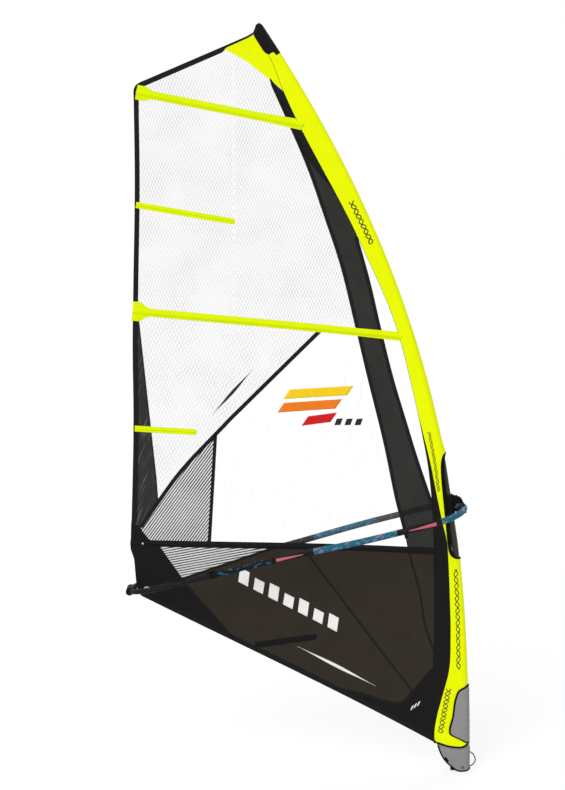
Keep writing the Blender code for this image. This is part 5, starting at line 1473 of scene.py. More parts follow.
@dataclass
class Luff:
    """The sleeve round the mast, its boom opening and binding, and the head cap.

    The opening is an oval with a power for each half, an angle at its middle and a gain in degrees a metre.
    A spread is how far past the opening's end the sleeve starts to widen, and the run that it takes.
    """

    mast: MastLine
    plane: SailPlane
    finishes: Finishes
    wall: float = 0.0011
    stand_off: float = 0.0030
    rear_half: float = 0.0016
    low: float = 0.150
    high: float = 3.945
    open_low: float = 1.152
    open_high: float = 1.716
    open_radius: float = 0.0382
    open_powers: Point = (13.0, 7.0)
    open_degrees: float = 99.5
    open_gain: float = 80.0
    spread_low: Point = (0.05, 0.16)
    spread_high: Point = (0.10, 0.22)
    binding: float = 0.0030
    facing: float = 0.017
    flat_width: float = 0.42
    tube_low: float = 0.360
    joint: float = 2.210
    joint_gap: float = 0.001
    cap_low: float = 3.922
    cap_shoulder: float = 4.076
    cap_tip: float = 0.0285
    flat_fill: float = 0.31
    neon_inset: float = 0.0015
    probe: float = 0.0015
    fold: float = 0.004
    facing_wall: float = 0.0012
    cap_proud: float = 0.0016
    cap_reach: float = 0.028
    rows: int = 420
    end_rows: int = 30
    end_run: float = 0.06
    arc_points: int = 15
    side_points: int = 9
    rear_points: int = 7

    def radius(self, station: Array) -> Array:
        """Radius of the round front: close to the mast, spread wide round the boom opening.

        Args:
            station: stations.

        Returns:
            The radius at each, eased between the two sizes at both ends.
        """
        close = self.mast.radius(station) + self.stand_off
        (before, rising), (after, falling) = self.spread_low, self.spread_high
        rise = smoothstep((station - self.open_low + before) / rising)
        fall = smoothstep((self.open_high + after - station) / falling)
        return close + (self.open_radius - close) * rise * fall

    def edge_angle(self, station: Array) -> Array:
        """Angle of the opening's edge from the front: an oval, wider toward its foot, closed at both ends.

        Args:
            station: stations.

        Returns:
            The angle: its width there, times the root of one less a high power of the distance from
            the oval's middle.
        """
        middle, half = (self.open_low + self.open_high) / 2, (self.open_high - self.open_low) / 2
        power = np.where(station < middle, *self.open_powers)
        share = np.clip(1.0 - np.abs((station - middle) / half) ** power, 0.0, 1.0)
        return np.radians(self.open_degrees + self.open_gain * (middle - station)) * share ** 0.5

    def neon_depth(self, station: Array) -> Array:
        """Depth of the colour's rear border, never past the sleeve's own rear edge.

        Args:
            station: stations.

        Returns:
            The depth at each; over the last given one the colour reaches the rear edge.
        """
        given = through(NEON_STATIONS, NEON_DEPTHS, station)
        given = np.where(station > NEON_STATIONS[-1], 1.0, given)
        return np.minimum(given, self.plane.depth(station) - self.neon_inset)

    def section(
        self, radius: Array, depth: Array, border: Array, angle: Array,
    ) -> tuple[Array, Array]:
        """Half section at each station, from the front edge round to the rear.

        The front is a circle's arc. The side is the straight line that touches it and ends at the rear edge.

        Args:
            radius: radius of the front arc at each station.
            depth: depth of the rear edge.
            border: depth of the colour border on the straight side.
            angle: where the arc starts, from the front.

        Returns:
            Depths behind the mast's centre, and half widths, each stations by columns.
        """
        reach = np.hypot(depth, self.rear_half)
        touch = np.arccos(radius / reach) + np.arctan2(self.rear_half, depth)
        arc = np.linspace(0.0, 1.0, self.arc_points)[None, :]
        turn = (math.pi - angle)[:, None] + (touch - math.pi + angle)[:, None] * arc
        arc_aft, arc_side = radius[:, None] * np.cos(turn), radius[:, None] * np.sin(turn)
        side_start, half_start = (radius * np.cos(touch))[:, None], (radius * np.sin(touch))[:, None]
        aft = np.concatenate([
            side_start + (border[:, None] - side_start) * np.linspace(0.0, 1.0, self.side_points)[None, 1:],
            border[:, None] + (depth - border)[:, None] * np.linspace(0.0, 1.0, self.rear_points)[None, 1:],
        ], axis=1)
        share = (aft - side_start) / (depth[:, None] - side_start)
        side = half_start + (self.rear_half - half_start) * share
        return np.concatenate([arc_aft, aft], axis=1), np.concatenate([arc_side, side], axis=1)

    def half_section(self, station: Array) -> tuple[Array, Array, Array]:
        """Whole half section at each station, as if the sleeve had no opening.

        Args:
            station: stations.

        Returns:
            Depths, half widths, and the distance walked from the front to each point.
        """
        depth = self.plane.depth(station)
        aft, side = self.section(self.radius(station), depth, depth * 0.7, np.zeros(len(station)))
        walked = np.cumsum(np.hypot(np.diff(aft), np.diff(side)), axis=1)
        return aft, side, np.concatenate([np.zeros((len(station), 1)), walked], axis=1)

    def surface(self, station: Array, run: Array) -> tuple[Array, Array]:
        """Places on the sleeve's outside, found by walking round each section from its front.

        Args:
            station: one station for each row.
            run: distances walked, rows by columns; negative on the near side.

        Returns:
            The places and the outward unit directions there.
        """
        aft, side, walked = self.half_section(station)
        reach, step = np.abs(run), self.probe
        found = [
            [np.interp(reach[row] + shift, walked[row], values[row]) for row in range(len(station))]
            for values in (aft, side) for shift in (0.0, -step, step)
        ]
        a, a_low, a_high, w, w_low, w_high = (np.array(values) for values in found)
        a_run, w_run = a_high - a_low, w_high - w_low
        size = np.hypot(a_run, w_run)
        front = reach < step
        size = np.where(front, 1.0, np.maximum(size, 1e-9))
        out_a, out_w = np.where(front, -1.0, -w_run / size), np.where(front, 0.0, a_run / size)
        sign = np.where(run < 0, -1.0, 1.0)
        _, direction = self.mast.read(station)
        back = stacked(-direction[:, 1], 0.0, direction[:, 0])
        normals = out_a[..., None] * back[:, None, :] + (sign * out_w)[..., None] * np.array(ACROSS)
        return self.mast.off(station[:, None], a, sign * w) + self.wall / 2 * normals, normals

    def walk_to(self, station: Array, depth: Array) -> Array:
        """Distance walked round each station's section, from its front to a depth behind the mast's centre."""
        aft, _, walked = self.half_section(station)
        return np.array([np.interp(depth[row], aft[row], walked[row]) for row in range(len(station))])

    def sleeve(self) -> None:
        """Sleeve: the half section and its mirror image carried down the mast's line.

        Its faces ask for one finish further on than the outside shows, and the wall's offset of one takes the
        outside back, so the lining under the neon cloth is black, which is painted shade for the sleeve's
        inside.
        """
        station = np.unique(np.concatenate([
            np.linspace(self.low, self.high, self.rows),
            np.linspace(self.open_low, self.open_low + self.end_run, self.end_rows),
            np.linspace(self.open_high - self.end_run, self.open_high, self.end_rows),
        ]))
        aft, side = self.section(
            self.radius(station), self.plane.depth(station), self.neon_depth(station),
            self.edge_angle(station),
        )
        folds = 1.0 + self.fold * np.sin(station * 61.0)[:, None] * np.sin(station * 23.0 + 1.0)[:, None]
        both_aft = np.concatenate([aft, aft[:, ::-1]], axis=1)
        both_side = np.concatenate([-side, side[:, ::-1]], axis=1) * folds
        points = self.mast.off(station[:, None], both_aft, both_side)
        half, columns = aft.shape[1], both_aft.shape[1] - 1
        colour = np.ones(columns, np.int32)
        colour[half - self.rear_points:half + self.rear_points - 1] = 2
        slots = np.broadcast_to(colour, (len(station) - 1, columns))
        # The black lining under the neon columns is painted shade inside the sleeve; the black rear columns
        # are its own black cloth.
        neon, black = self.finishes.neon, self.finishes.black
        grid = Grid(points, uv=stacked(both_aft, station[:, None]), slots=slots)
        item = grid.build("sleeve_cloth", [neon, black, black])
        shell = thickened(item, self.wall).modifiers["wall"]
        shell.material_offset = shell.material_offset_rim = -1
        attach(item, RIG_BODY, ["luff_sleeve"])
        around = 2 * (self.plane.depth(station) + 1.2 * self.radius(station))

    def opening_binding(self) -> None:
        """Rolled binding round the boom opening: a tube along the oval's two edges."""
        turn = np.linspace(-1.0, 1.0, 160) * (math.pi / 2 - 0.06)
        station = (self.open_low + self.open_high) / 2 + (self.open_high - self.open_low) / 2 * np.sin(turn)
        radius, angle = self.radius(station), self.edge_angle(station)
        near = self.mast.off(station, -radius * np.cos(angle), -radius * np.sin(angle))
        far = self.mast.off(station[::-1], -(radius * np.cos(angle))[::-1], (radius * np.sin(angle))[::-1])
        loop = np.concatenate([near, far])
        centres = self.mast.off(np.concatenate([station, station[::-1]]), 0.0, 0.0)
        cloth = self.finishes.binding
        made(ring_tube(loop, loop - centres, self.binding, 320), "opening_binding", cloth)
        wide = self.facing * np.linspace(0.0, 1.0, 9)[None, :]
        uv = stacked(station[:, None], wide)
        for side, sign in SIDES:
            points, normals = self.surface(station, sign * ((radius * angle)[:, None] + wide))
            grid = Grid(points + self.facing_wall / 2 * normals, uv=uv)
            made(grid, "opening_facing_" + side, cloth, wall=self.facing_wall)

    def cap(self) -> None:
        """Head cap: the sleeve's section a little larger, drawn in to a rounded tip."""
        tip = self.cap_reach * np.sin(np.linspace(0.1, 1.5, 14))
        station = np.concatenate([np.linspace(self.cap_low, self.cap_shoulder, 60), self.cap_shoulder + tip])
        past = ((station - self.cap_shoulder) / self.cap_tip).clip(0.0)
        shrink = np.sqrt(np.clip(1.0 - past ** 2, 0.06, 1.0))
        radius = (self.mast.radius(station) + self.stand_off + self.cap_proud) * shrink
        depth = np.maximum(np.interp(station, CAP_STATIONS, CAP_DEPTHS), radius * 1.15)
        aft, side = self.section(radius, depth, radius + (depth - radius) * 0.6, np.zeros(len(station)))
        both_aft = np.concatenate([aft[:, 1:], aft[:, ::-1]], axis=1)
        both_side = np.concatenate([-side[:, 1:], side[:, ::-1]], axis=1)
        grid = Grid(self.mast.off(station[:, None], both_aft, both_side), ring_columns=True, capped=True)
        made(grid, "cap_cloth", self.finishes.black, nodes=["head_cap"])

    def tubes(self) -> None:
        """The two mast sections as one smooth line of tube each, with their joint inside the sleeve."""
        spans = (
            ("mast_tube", self.tube_low, self.joint - self.joint_gap / 2, "mast_bottom_section"),
            ("mast_tip_tube", self.joint + self.joint_gap / 2, self.mast.tube_end, "mast_top_section"),
        )
        for name, low, high, node in spans:
            station = np.linspace(low, high, 120)
            grid = tube_grid(self.mast.off(station, 0.0, 0.0), self.mast.radius(station), ACROSS, 40)
            made(grid, name, self.finishes.carbon, nodes=[node])

    def build(self) -> None:
        """Make the sleeve, binding, cap and mast."""
        self.tubes()
        self.sleeve()
        self.opening_binding()
        self.cap()


PAD_STATIONS = (0.157, 0.167, 0.176, 0.189, 0.198, 0.207, 0.217, 0.296, 0.412, 0.436, 0.446, 0.457, 0.468)
PAD_REARS = (
    -0.017, -0.003, 0.012, 0.042, 0.061, 0.070, 0.0715, 0.0555, 0.0343, 0.0245, 0.015, -0.004, -0.021,
)
FLAP_PLACES = (-0.1355, -0.130, -0.112, -0.090, -0.062, -0.040, 0.003, 0.034)
FLAP_BOTTOMS = (0.143, 0.125, 0.085, 0.055, 0.030, 0.0125, 0.0075, 0.014)
LOOP_ROUTE = (
    (0.0346, 0.0, 0.102), (0.0496, 0.0, 0.091), (0.0596, 0.0, 0.076),
    (0.0640, 0.0, 0.057), (0.0556, 0.0, 0.036), (0.0346, 0.0, 0.022),
)
TONGUE_LOW = ((0.017, 0.155), (0.001, 0.143), (-0.056, 0.139), (-0.114, 0.153), (-0.143, 0.164))
TONGUE_HIGH = ((0.018, 0.161), (-0.012, 0.181), (-0.062, 0.205), (-0.110, 0.208), (-0.150, 0.210))


@dataclass
class Tack:
    """Padded cover of the sleeve's foot, the flap under it, and the downhaul inside."""

    luff: Luff
    finishes: Finishes
    piping: float = 0.0058
    flap_half: float = 0.0338
    flap_rear_half: float = 0.0328
    flap_top: float = 0.1488
    sheave_x: float = -0.046
    sheave_offset: float = 0.006
    base_sheave_z: float = 0.032
    tack_sheave_z: float = 0.121
    line_lay: float = 0.0108
    line_radius: float = 0.0020
    line_top: float = 0.1037
    loop_radius: float = 0.0030
    foam_wall: float = 0.0024
    proud: float = 0.0030
    pad_lift: float = 0.0018
    pad_crown: float = 0.0030
    pad_fold: float = 0.0004
    pad_ease: float = 0.014
    flap_tuck: float = 0.15
    flap_wave: float = 0.010
    flap_edge: float = 0.0044

    def pad(self) -> None:
        """Quilted pad: the sleeve's surface lifted in a low cushion, with piping round its edge."""
        station = np.linspace(PAD_STATIONS[0], PAD_STATIONS[-1], 130)
        reach = self.luff.walk_to(station, through(PAD_STATIONS, PAD_REARS, station))
        share = np.linspace(-1.0, 1.0, 71)[None, :]
        points, normals = self.luff.surface(station, reach[:, None] * share)
        ends = smoothstep(np.minimum(station - station[0], station[-1] - station) / self.pad_ease)[:, None]
        ripple = np.sin(station[:, None] * 190.0 + 2.0 * np.sin(share * 5.0))
        folds = self.pad_fold * ripple * (1.0 - share ** 4)
        lift = self.pad_lift + (self.pad_crown * (1.0 - share ** 8) + folds) * ends
        skin = Grid(points + lift[..., None] * normals)
        grey = self.finishes.grey
        item = made(skin, "pad_skin", grey, nodes=["tack_pad"], wall=self.foam_wall)
        loop, out = (
            np.concatenate([grid[:, 0], grid[-1, 1:], grid[-2::-1, -1], grid[0, -2:0:-1]])
            for grid in (points, normals)
        )
        edge = ring_tube(loop + 0.0006 * out, out, self.piping, 420)
        made(edge, "pad_piping", self.finishes.binding)

    def plan(self, x: Array) -> Array:
        """Half width of the flap's straight sides at a place along it."""
        return self.flap_half + (self.flap_rear_half - self.flap_half) * smoothstep((-x - 0.02) / 0.117)

    def flap(self) -> None:
        """Flap: a U in plan, ruled from its top edge to a bottom edge that rises to the rear."""
        back = np.linspace(FLAP_PLACES[0], 0.0, 50)
        turn = np.linspace(math.pi / 2, -math.pi / 2, 41)[1:-1]
        x = np.concatenate([back, self.flap_half * np.cos(turn), back[::-1]])
        y = np.concatenate([self.plan(back), self.flap_half * np.sin(turn), -self.plan(back)[::-1]])
        bottom = through(FLAP_PLACES, FLAP_BOTTOMS, x)
        share = np.linspace(0.0, 1.0, 41)[:, None]
        z = self.flap_top + (bottom - self.flap_top)[None, :] * share
        tuck = 1.0 - self.flap_tuck * smoothstep((z - 0.122) / 0.027)
        ripple = np.sin(z * 420.0 + 3.0 * np.sin(x * 40.0))
        wave = 1.0 + self.flap_wave * ripple * smoothstep((0.140 - z) / 0.03)
        points = stacked(x * np.where(x > 0.0, tuck * wave, 1.0), y * tuck * wave, z)
        item = made(
            Grid(points), "flap_skin", self.finishes.grey, "flap", ["tack_flap"], self.foam_wall
        )
        rim = resample(points[-1], 240)
        edge = tube_grid(rim, self.flap_edge, stacked(np.maximum(rim[:, 0], 0.0), rim[:, 1], 0.0), 12)
        made(edge, "flap_binding", self.finishes.binding, "flap")
        self.flap_trim()
        self.pull_loop()

    def flap_trim(self) -> None:
        """Strap end and eyelet ring on each side of the flap."""
        strap_x, ring, wire = -0.092, 0.0054, 0.0013
        half = float(self.plan(np.array(strap_x))) + self.proud
        profile = stacked(ring + wire * np.cos(turns(12)), wire * np.sin(turns(12)))
        looks = self.finishes
        for side, sign in SIDES:
            strap = block_grid((0.026, 0.0050, 0.012), placed((strap_x, sign * half, 0.0700), 52.0, "Y"))
            made(strap, "flap_strap_" + side, looks.binding, "flap")
            eyelet = turned_grid(profile, placed((-0.006, sign * 0.0362, 0.027), 90.0, "X"))
            made(eyelet, "flap_ring_" + side, looks.plastic, "flap")

    def pull_loop(self) -> None:
        """Pull loop at the flap's front: a cord that leaves it high and comes back low."""
        path = rounded(LOOP_ROUTE, 90)
        grid = tube_grid(path, self.loop_radius, ACROSS, 16)
        item = made(grid, "flap_loop_cord", self.finishes.rope, "flap", ["flap_pull_loop"])

    def tongue(self) -> None:
        """Foot of the sleeve: each side flares from the sleeve's surface down over the flap."""
        low, high = rounded(TONGUE_LOW, 70), rounded(TONGUE_HIGH, 70)
        station = high[:, 1]
        centre, _ = self.luff.mast.read(station)
        run = self.luff.walk_to(station, centre[:, 0] - high[:, 0])
        share = np.linspace(0.0, 1.0, 13)[None, :, None]
        nose = np.sqrt(np.clip(self.flap_half ** 2 - low[:, 0] ** 2, 0, 1))
        half = np.where(low[:, 0] > 0, nose, self.plan(low[:, 0]))
        for side, sign in SIDES:
            top, normals = self.luff.surface(station, (sign * run)[:, None])
            top = top[:, 0] + 0.0008 * normals[:, 0]
            base = stacked(low[:, 0], sign * (half + self.proud), low[:, 1])
            grid = Grid(top[:, None] * (1.0 - share) + base[:, None] * share)
            made(grid, "foot_tongue_" + side, self.finishes.neon, wall=self.luff.wall)
            edge = tube_grid(resample(base, 160), self.piping * 0.8, (0.0, sign, 0.0), 12)
            made(edge, "tongue_piping_" + side, self.finishes.binding)

    def half_turn(self, y: float, z: float, start: float) -> Array:
        """Line's half circle round a sheave, clockwise from a start angle."""
        angle = start - np.linspace(0.0, math.pi, 25)
        return stacked(self.sheave_x + self.line_lay * np.cos(angle), y, z + self.line_lay * np.sin(angle))

    def downhaul(self) -> None:
        """Downhaul line round its three sheaves, and the strap that holds the upper block."""
        reach, side = self.line_lay, self.sheave_offset
        path = np.concatenate([
            [(self.sheave_x + reach, side, self.line_top)],
            self.half_turn(side, self.base_sheave_z, 0.0),
            self.half_turn(0.0, self.tack_sheave_z, math.pi),
            self.half_turn(-side, self.base_sheave_z, 0.0),
            [(self.sheave_x - reach, -side, self.line_top)],
        ])
        grid = tube_grid(resample(path, 420), self.line_radius, ACROSS, 14)
        made(grid, "downhaul_rope", self.finishes.rope, nodes=["downhaul_line"])
        x, z = np.meshgrid(np.linspace(-0.058, -0.034, 9), np.linspace(0.1423, 0.225, 40))
        strap = Grid(stacked(x, 0.0002 * np.sin(z * 300.0), z), uv=stacked(z, x - self.sheave_x))
        tape = self.finishes.tape
        item = made(strap, "tack_strap", tape, nodes=["tack_webbing"], wall=0.0022)

    def build(self) -> None:
        """Make the pad, flap, tongue and downhaul."""
        self.pad()
        self.flap()
        self.tongue()
        self.downhaul()


@dataclass
class Prints:
    """Plain printed motifs: slanted bars and tapered lines on the sail, and wavy ribbons on the sleeve."""

    maker: SailMaker
    luff: Luff
    finishes: Finishes
    proud: float = 0.0024

    def bar(self, name: str, corner: Point, along: Point, lean: Point, material: Material) -> None:
        """Slanted bar on the sail.

        Args:
            name: its name.
            corner: its lower corner.
            along: its lower side, as a step.
            lean: its slanting side, as a step.
            material: its finish.
        """
        low = straight(corner, (corner[0] + along[0], corner[1] + along[1]))
        high = low + np.array(lean)
        item, _ = self.maker.panel(name, low, high, material, self.proud, 24, 8)
        attach(item, RIG_BODY)

    def taper(self, name: str, start: Point, end: Point, width: float, material: Material) -> None:
        """Line on the sail that swells from a point to its middle and back: a squared half wave.

        Args:
            name: its name.
            start: one end.
            end: the other end.
            width: its width in the middle.
            material: its finish.
        """
        item, _ = self.maker.strip(
            name, straight(start, end), lambda share: 0.0008 + width * np.sin(math.pi * share) ** 2,
            material, self.proud, rows=60, columns=3,
        )
        attach(item, RIG_BODY)

    def wave(
        self, name: str, low: float, high: float, depths: Point, sway: float, pitch: float, width: float,
        phase: float, material: Material,
    ) -> None:
        """Wavy ribbon down both sides of the sleeve: a sine of the station laid on its surface.

        Args:
            name: the ribbon's name.
            low: lowest station.
            high: highest station.
            depths: depths behind the mast at the lowest and highest station.
            sway: height of the waves.
            pitch: length of one wave.
            width: width of the ribbon.
            phase: where the waves start, in turns.
            material: its finish.
        """
        station = np.linspace(low, high, max(60, int((high - low) / pitch * 22)))
        sine = np.sin(2 * math.pi * (station / pitch + phase))
        path = stacked(station, np.interp(station, (low, high), depths) + sway * sine)
        across = np.linspace(-0.5, 0.5, 4)
        flat = path[:, None, :] + (width * across)[None, :, None] * normals_of(path)[:, None, :]
        spots, depth = flat.reshape(-1, 2).T
        run = self.luff.walk_to(spots, depth)
        for side, sign in SIDES:
            points, normals = self.luff.surface(spots, (sign * run)[:, None])
            lifted = (points + 0.0003 * normals).reshape(*flat.shape[:2], 3)
            made(Grid(lifted), f"{name}_{side}", material, wall=0.0008)

    def build(self) -> None:
        """Lay out every motif."""
        looks = self.finishes
        bars = ((-0.955, 1.985, 0.330), (-0.985, 1.915, 0.300), (-0.860, 1.845, 0.150))
        for index, (x, z, length) in enumerate(bars):
            self.bar(f"window_bar_{index}", (x, z), (length, 0.020), (0.034, 0.050), looks.warm_print[index])
        for index in range(3):
            corner = (-0.690 + 0.052 * index, 1.848)
            self.bar(f"window_dash_{index}", corner, (0.032, 0.002), (0.012, 0.034), looks.black_print)
        start, pitch, slope = -1.190, 0.078, -0.53
        for index in range(7):
            corner = (start + pitch * index, 1.020 + slope * pitch * index)
            lean = (0.010, 0.062 if index % 2 else 0.076)
            self.bar(f"foot_bar_{index}", corner, (0.050, -0.027), lean, looks.white_print)
        self.taper("foot_line", (-0.880, 0.668), (-0.465, 0.452), 0.016, looks.white_print)
        self.taper("film_line", (-1.322, 1.905), (-1.112, 2.140), 0.015, looks.black_print)
        for index in range(3):
            corner = (-0.283 + 0.017 * index, 0.322 + 0.012 * index)
            self.bar(f"tack_bar_{index}", corner, (0.009, 0.006), (0.011, 0.026), looks.white_print)
        waves = (
            ("lower_wave", 0.56, 1.10, (0.022, 0.004), 0.009, 0.066, 0.0046),
            ("middle_wave", 1.52, 1.84, (0.036, 0.030), 0.006, 0.040, 0.0032),
            ("tack_wave", 0.200, 0.455, (0.124, 0.076), 0.012, 0.046, 0.0046),
            ("upper_wave", 2.86, 3.10, (0.022, 0.032), 0.011, 0.056, 0.0056),
        )
        for name, *shape in waves:
            self.wave(name + "_first", *shape, 0.0, looks.olive_print)
            self.wave(name + "_second", *shape, 0.42, looks.olive_print)


HOUSING_PROFILE = (
    (0.0127, -0.017), (0.0172, -0.017), (0.0185, -0.0155), (0.0185, -0.004), (0.0178, -0.003),
    (0.0178, 0.003), (0.0185, 0.004), (0.0185, 0.0155), (0.0172, 0.017), (0.0127, 0.017),
)
GRIP_END_PROFILE = (
    (0.0148, -0.008), (0.0160, -0.008), (0.0170, -0.0065), (0.0172, 0.0), (0.0168, 0.0065),
    (0.0160, 0.008), (0.0148, 0.008),
)
LEVER_PIVOT = (-0.07007, 0.0, 1.48426)
LEVER_LEAN = -0.15821
EYELET = (-1.668, 0.0019, 0.982)


@dataclass
class Boom:
    """Wishbone boom: its tubes, grip, moulded ends, clips and the outhaul."""

    mast: MastLine
    finishes: Finishes
    station: float = 1.406
    tilt: float = math.radians(14.2)
    front: float = 0.083
    length: float = 1.795
    nose: float = 0.200
    half_width: float = 0.210
    tail_half: float = 0.135
    shoulder: float = 0.420
    straight_start: float = 1.080
    body_end: float = 1.360
    grip_end: float = 1.020
    grip_radius: float = 0.0163
    body_radius: float = 0.0146
    tail_radius: float = 0.0125
    tail_bend: float = 0.190
    tail_start: float = 1.120
    housing_half: float = 0.017
    sheave_inset: float = 0.034
    sheave_offset: float = 0.030
    line_lay: float = 0.0093
    line_radius: float = 0.0020

    def __post_init__(self) -> None:
        """Place the boom's own frame on the mast."""
        centre = self.mast.off(np.array(self.station), 0.0, 0.0)
        self.frame = placed(tuple(centre), -math.degrees(self.tilt), "Y")
        self.up = (-math.sin(self.tilt), 0.0, math.cos(self.tilt))

    def half(self, distance: Array) -> Array:
        """Half width: a quarter ellipse at the nose, then a cosine ease to the tail.

        Args:
            distance: distances aft of the front.

        Returns:
            The half width at each.
        """
        nose = self.half_width * np.sqrt(np.clip(1.0 - (1.0 - distance / self.nose) ** 2, 0.0, 1.0))
        share = np.clip((distance - self.shoulder) / (self.straight_start - self.shoulder), 0.0, 1.0)
        arm = self.tail_half + (self.half_width - self.tail_half) * (0.5 + 0.5 * np.cos(math.pi * share))
        return np.where(distance < self.nose, nose, arm)

    def wishbone(self, end: float, count: int = 120) -> Array:
        """Boom line from one arm's end round the nose to the other's.

        Args:
            end: distance aft of the front where the arms end.
            count: points along each arm's straight part.

        Returns:
            World points.
        """
        turn = np.linspace(0.0, math.pi / 2, 40)
        arc = self.nose * (1.0 - np.cos(turn))
        distance = np.concatenate([arc, np.linspace(self.nose, end, count)[1:]])
        far = stacked(self.front - distance, self.half(distance), 0.0)
        return moved(np.concatenate([far[::-1], far[1:] * MIRROR]), self.frame)

    def tail_line(self) -> Array:
        """Tail piece: two straight legs and a half ellipse behind the clew.

        Returns:
            World points.
        """
        start = self.length - self.tail_bend
        turn = np.linspace(0.0, math.pi / 2, 40)
        aft = start + self.tail_bend * np.sin(turn)
        bend = stacked(self.front - aft, self.tail_half * np.cos(turn), 0.0)
        leg = stacked(self.front - np.linspace(self.tail_start, start, 30), self.tail_half, 0.0)
        far = np.concatenate([leg[:-1], bend])
        return moved(np.concatenate([far, far[::-1][1:] * MIRROR]), self.frame)

    def build(self) -> None:
        """Make the boom's tubes and their fittings."""
        looks = self.finishes
        tubes = (
            ("grip_skin", self.grip_end, self.grip_radius, "boom_grip", "boom_grip"),
            ("boom_tubing", self.body_end, self.body_radius, "boom_tube", "boom_body"),
        )
        for name, end, radius, slot, node in tubes:
            tube = tube_grid(resample(self.wishbone(end), 420), radius, self.up, 32)
            tube.uv = tube.uv - np.array([tube.uv[-1, 0, 0] / 2, 0.0])
            made(tube, name, looks.grip, "boom", [node])
        tail = tube_grid(resample(self.tail_line(), 260), self.tail_radius, self.up, 32)
        made(tail, "tail_tubing", looks.tube, "tail", ["boom_tail"])
        self.fittings()
        self.outhaul()

    def fittings(self) -> None:
        """Moulded grip ends, clip housings, and the ribs of the clamp's lever."""
        plastic, step = self.finishes.plastic, 0.01
        collars = (
            ("clip_housing_", self.body_end - self.housing_half, HOUSING_PROFILE),
            ("grip_end_", self.grip_end, GRIP_END_PROFILE),
        )
        for side, sign in SIDES:
            for name, distance, profile in collars:
                half = self.half(distance + np.array([-step, step])) * sign
                turn = math.degrees(math.atan2(half[1] - half[0], -2 * step))
                middle = (self.front - distance, float(half.mean()), 0.0)
                place = self.frame @ placed(middle, turn, "Z") @ placed((0.0, 0.0, 0.0), 90.0, "Y")
                made(turned_grid(profile, place), name + side, plastic, "boom")
        pivot = placed(LEVER_PIVOT, math.degrees(math.asin(LEVER_LEAN)), "Y")
        for index, reach in enumerate((0.019, 0.030, 0.037, 0.041, 0.0425, 0.0425)):
            place = pivot @ placed((0.002 + reach / 2, 0.0, -0.004 - 0.0075 * index))
            rib = block_grid((reach - 0.004, 0.030, 0.0050), place, 5.0)
            made(rib, f"lever_rib_{index}", plastic, "clamp_handle")
        core = block_grid((0.026, 0.022, 0.032), pivot @ placed((0.018, 0.0, -0.025)), 8.0)
        made(core, "lever_core", plastic, "clamp_handle")

    def outhaul(self) -> None:
        """Outhaul line: from one rear clip round its sheave, through the clew and back on the other side."""
        sheave_x = self.front - self.length + self.sheave_inset
        spot = self.frame.inverted() @ Vector(EYELET)
        angle = -math.pi / 2 - np.linspace(0.0, math.pi, 33)
        across, along = self.sheave_offset + self.line_lay * np.sin(angle), self.line_lay * np.cos(angle)
        far = np.concatenate([
            [(spot.x, 0.005, spot.z), (spot.x, 0.0135, spot.z)], stacked(sheave_x + along, across, 0.0),
            [(self.front - self.body_end - 0.0003, 0.1181, 0.0)],
        ])
        path = moved(resample(np.concatenate([far[::-1] * MIRROR, far]), 700), self.frame)
        item = tube_grid(path, self.line_radius, self.up, 12).build("outhaul_rope", [self.finishes.rope])
        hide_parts("outhaul_line")
        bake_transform(item)


BOLT_PROFILE = (
    (0.0003, -0.0178), (0.0016, -0.0178), (0.0018, -0.0168), (0.0018, 0.0126), (0.0021, 0.0130),
    (0.0021, 0.0172), (0.0018, 0.0178), (0.0012, 0.0178), (0.0012, 0.0158), (0.0003, 0.0158),
)
RIVET_PROFILE = (
    (0.0003, -0.001), (0.0052, -0.001), (0.0052, 0.0), (0.0040, 0.0014), (0.0020, 0.0022), (0.0003, 0.0024),
)
SCREWS = (
    ("head_tensioner", "batten_head_screw", (-1.68248, 0.03352, 3.54657), (0.97992, -0.05458, -0.19177)),
    ("mid_tensioner", "batten_mid_screw", (-1.71223, 0.00777, 2.44232), (0.99554, -0.00056, -0.09433)),
    ("low_tensioner", "batten_low_screw", (-1.73616, -0.0036, 1.23249), (0.99952, 0.01194, -0.02854)),
)


def tension_screws(plane: SailPlane, finishes: Finishes) -> None:
    """Batten tension screws with their sockets at the leech, and the rivet on the lowest pocket.

    Args:
        plane: the sail's layout.
        finishes: the rig's materials.
    """
    for body, node, place, axis in SCREWS:
        turn = (-Vector(axis)).to_track_quat("Z", "Y").to_matrix().to_4x4()
        bolt = turned_grid(BOLT_PROFILE, placed(place) @ turn, 24)
        made(bolt, node + "_bolt", finishes.steel, body, [node])
    rivet = plane.lifted(np.array([-1.686, 1.2305]), 0.0102)
    made(turned_grid(RIVET_PROFILE, placed(rivet, 90.0, "X"), 24), "pocket_rivet", finishes.steel)


def dress_nodes(nodes: dict, finishes: Finishes) -> None:
    """Give each CAD node that stays in view its finish.

    Args:
        nodes: the loaded nodes, by name.
        finishes: the rig's materials.
    """
    groups = (
        (finishes.plastic, (
            "extension_collar", "extension_base", "base_sheave_far", "base_sheave_near", "tack_sheave",
            "mast_clamp", "clamp_lever", "boom_head", "clip_lever_far", "clip_lever_near", "tail_end",
            "outhaul_sheave_far", "outhaul_sheave_near",
        )),
        (finishes.tube, ("extension_tube",)),
        (finishes.steel, ("tack_block", "clew_eyelet")),
    )
    for material, names in groups:
        for name in names:
            mesh = nodes[name].data
            mesh.materials.clear()
            mesh.materials.append(material)


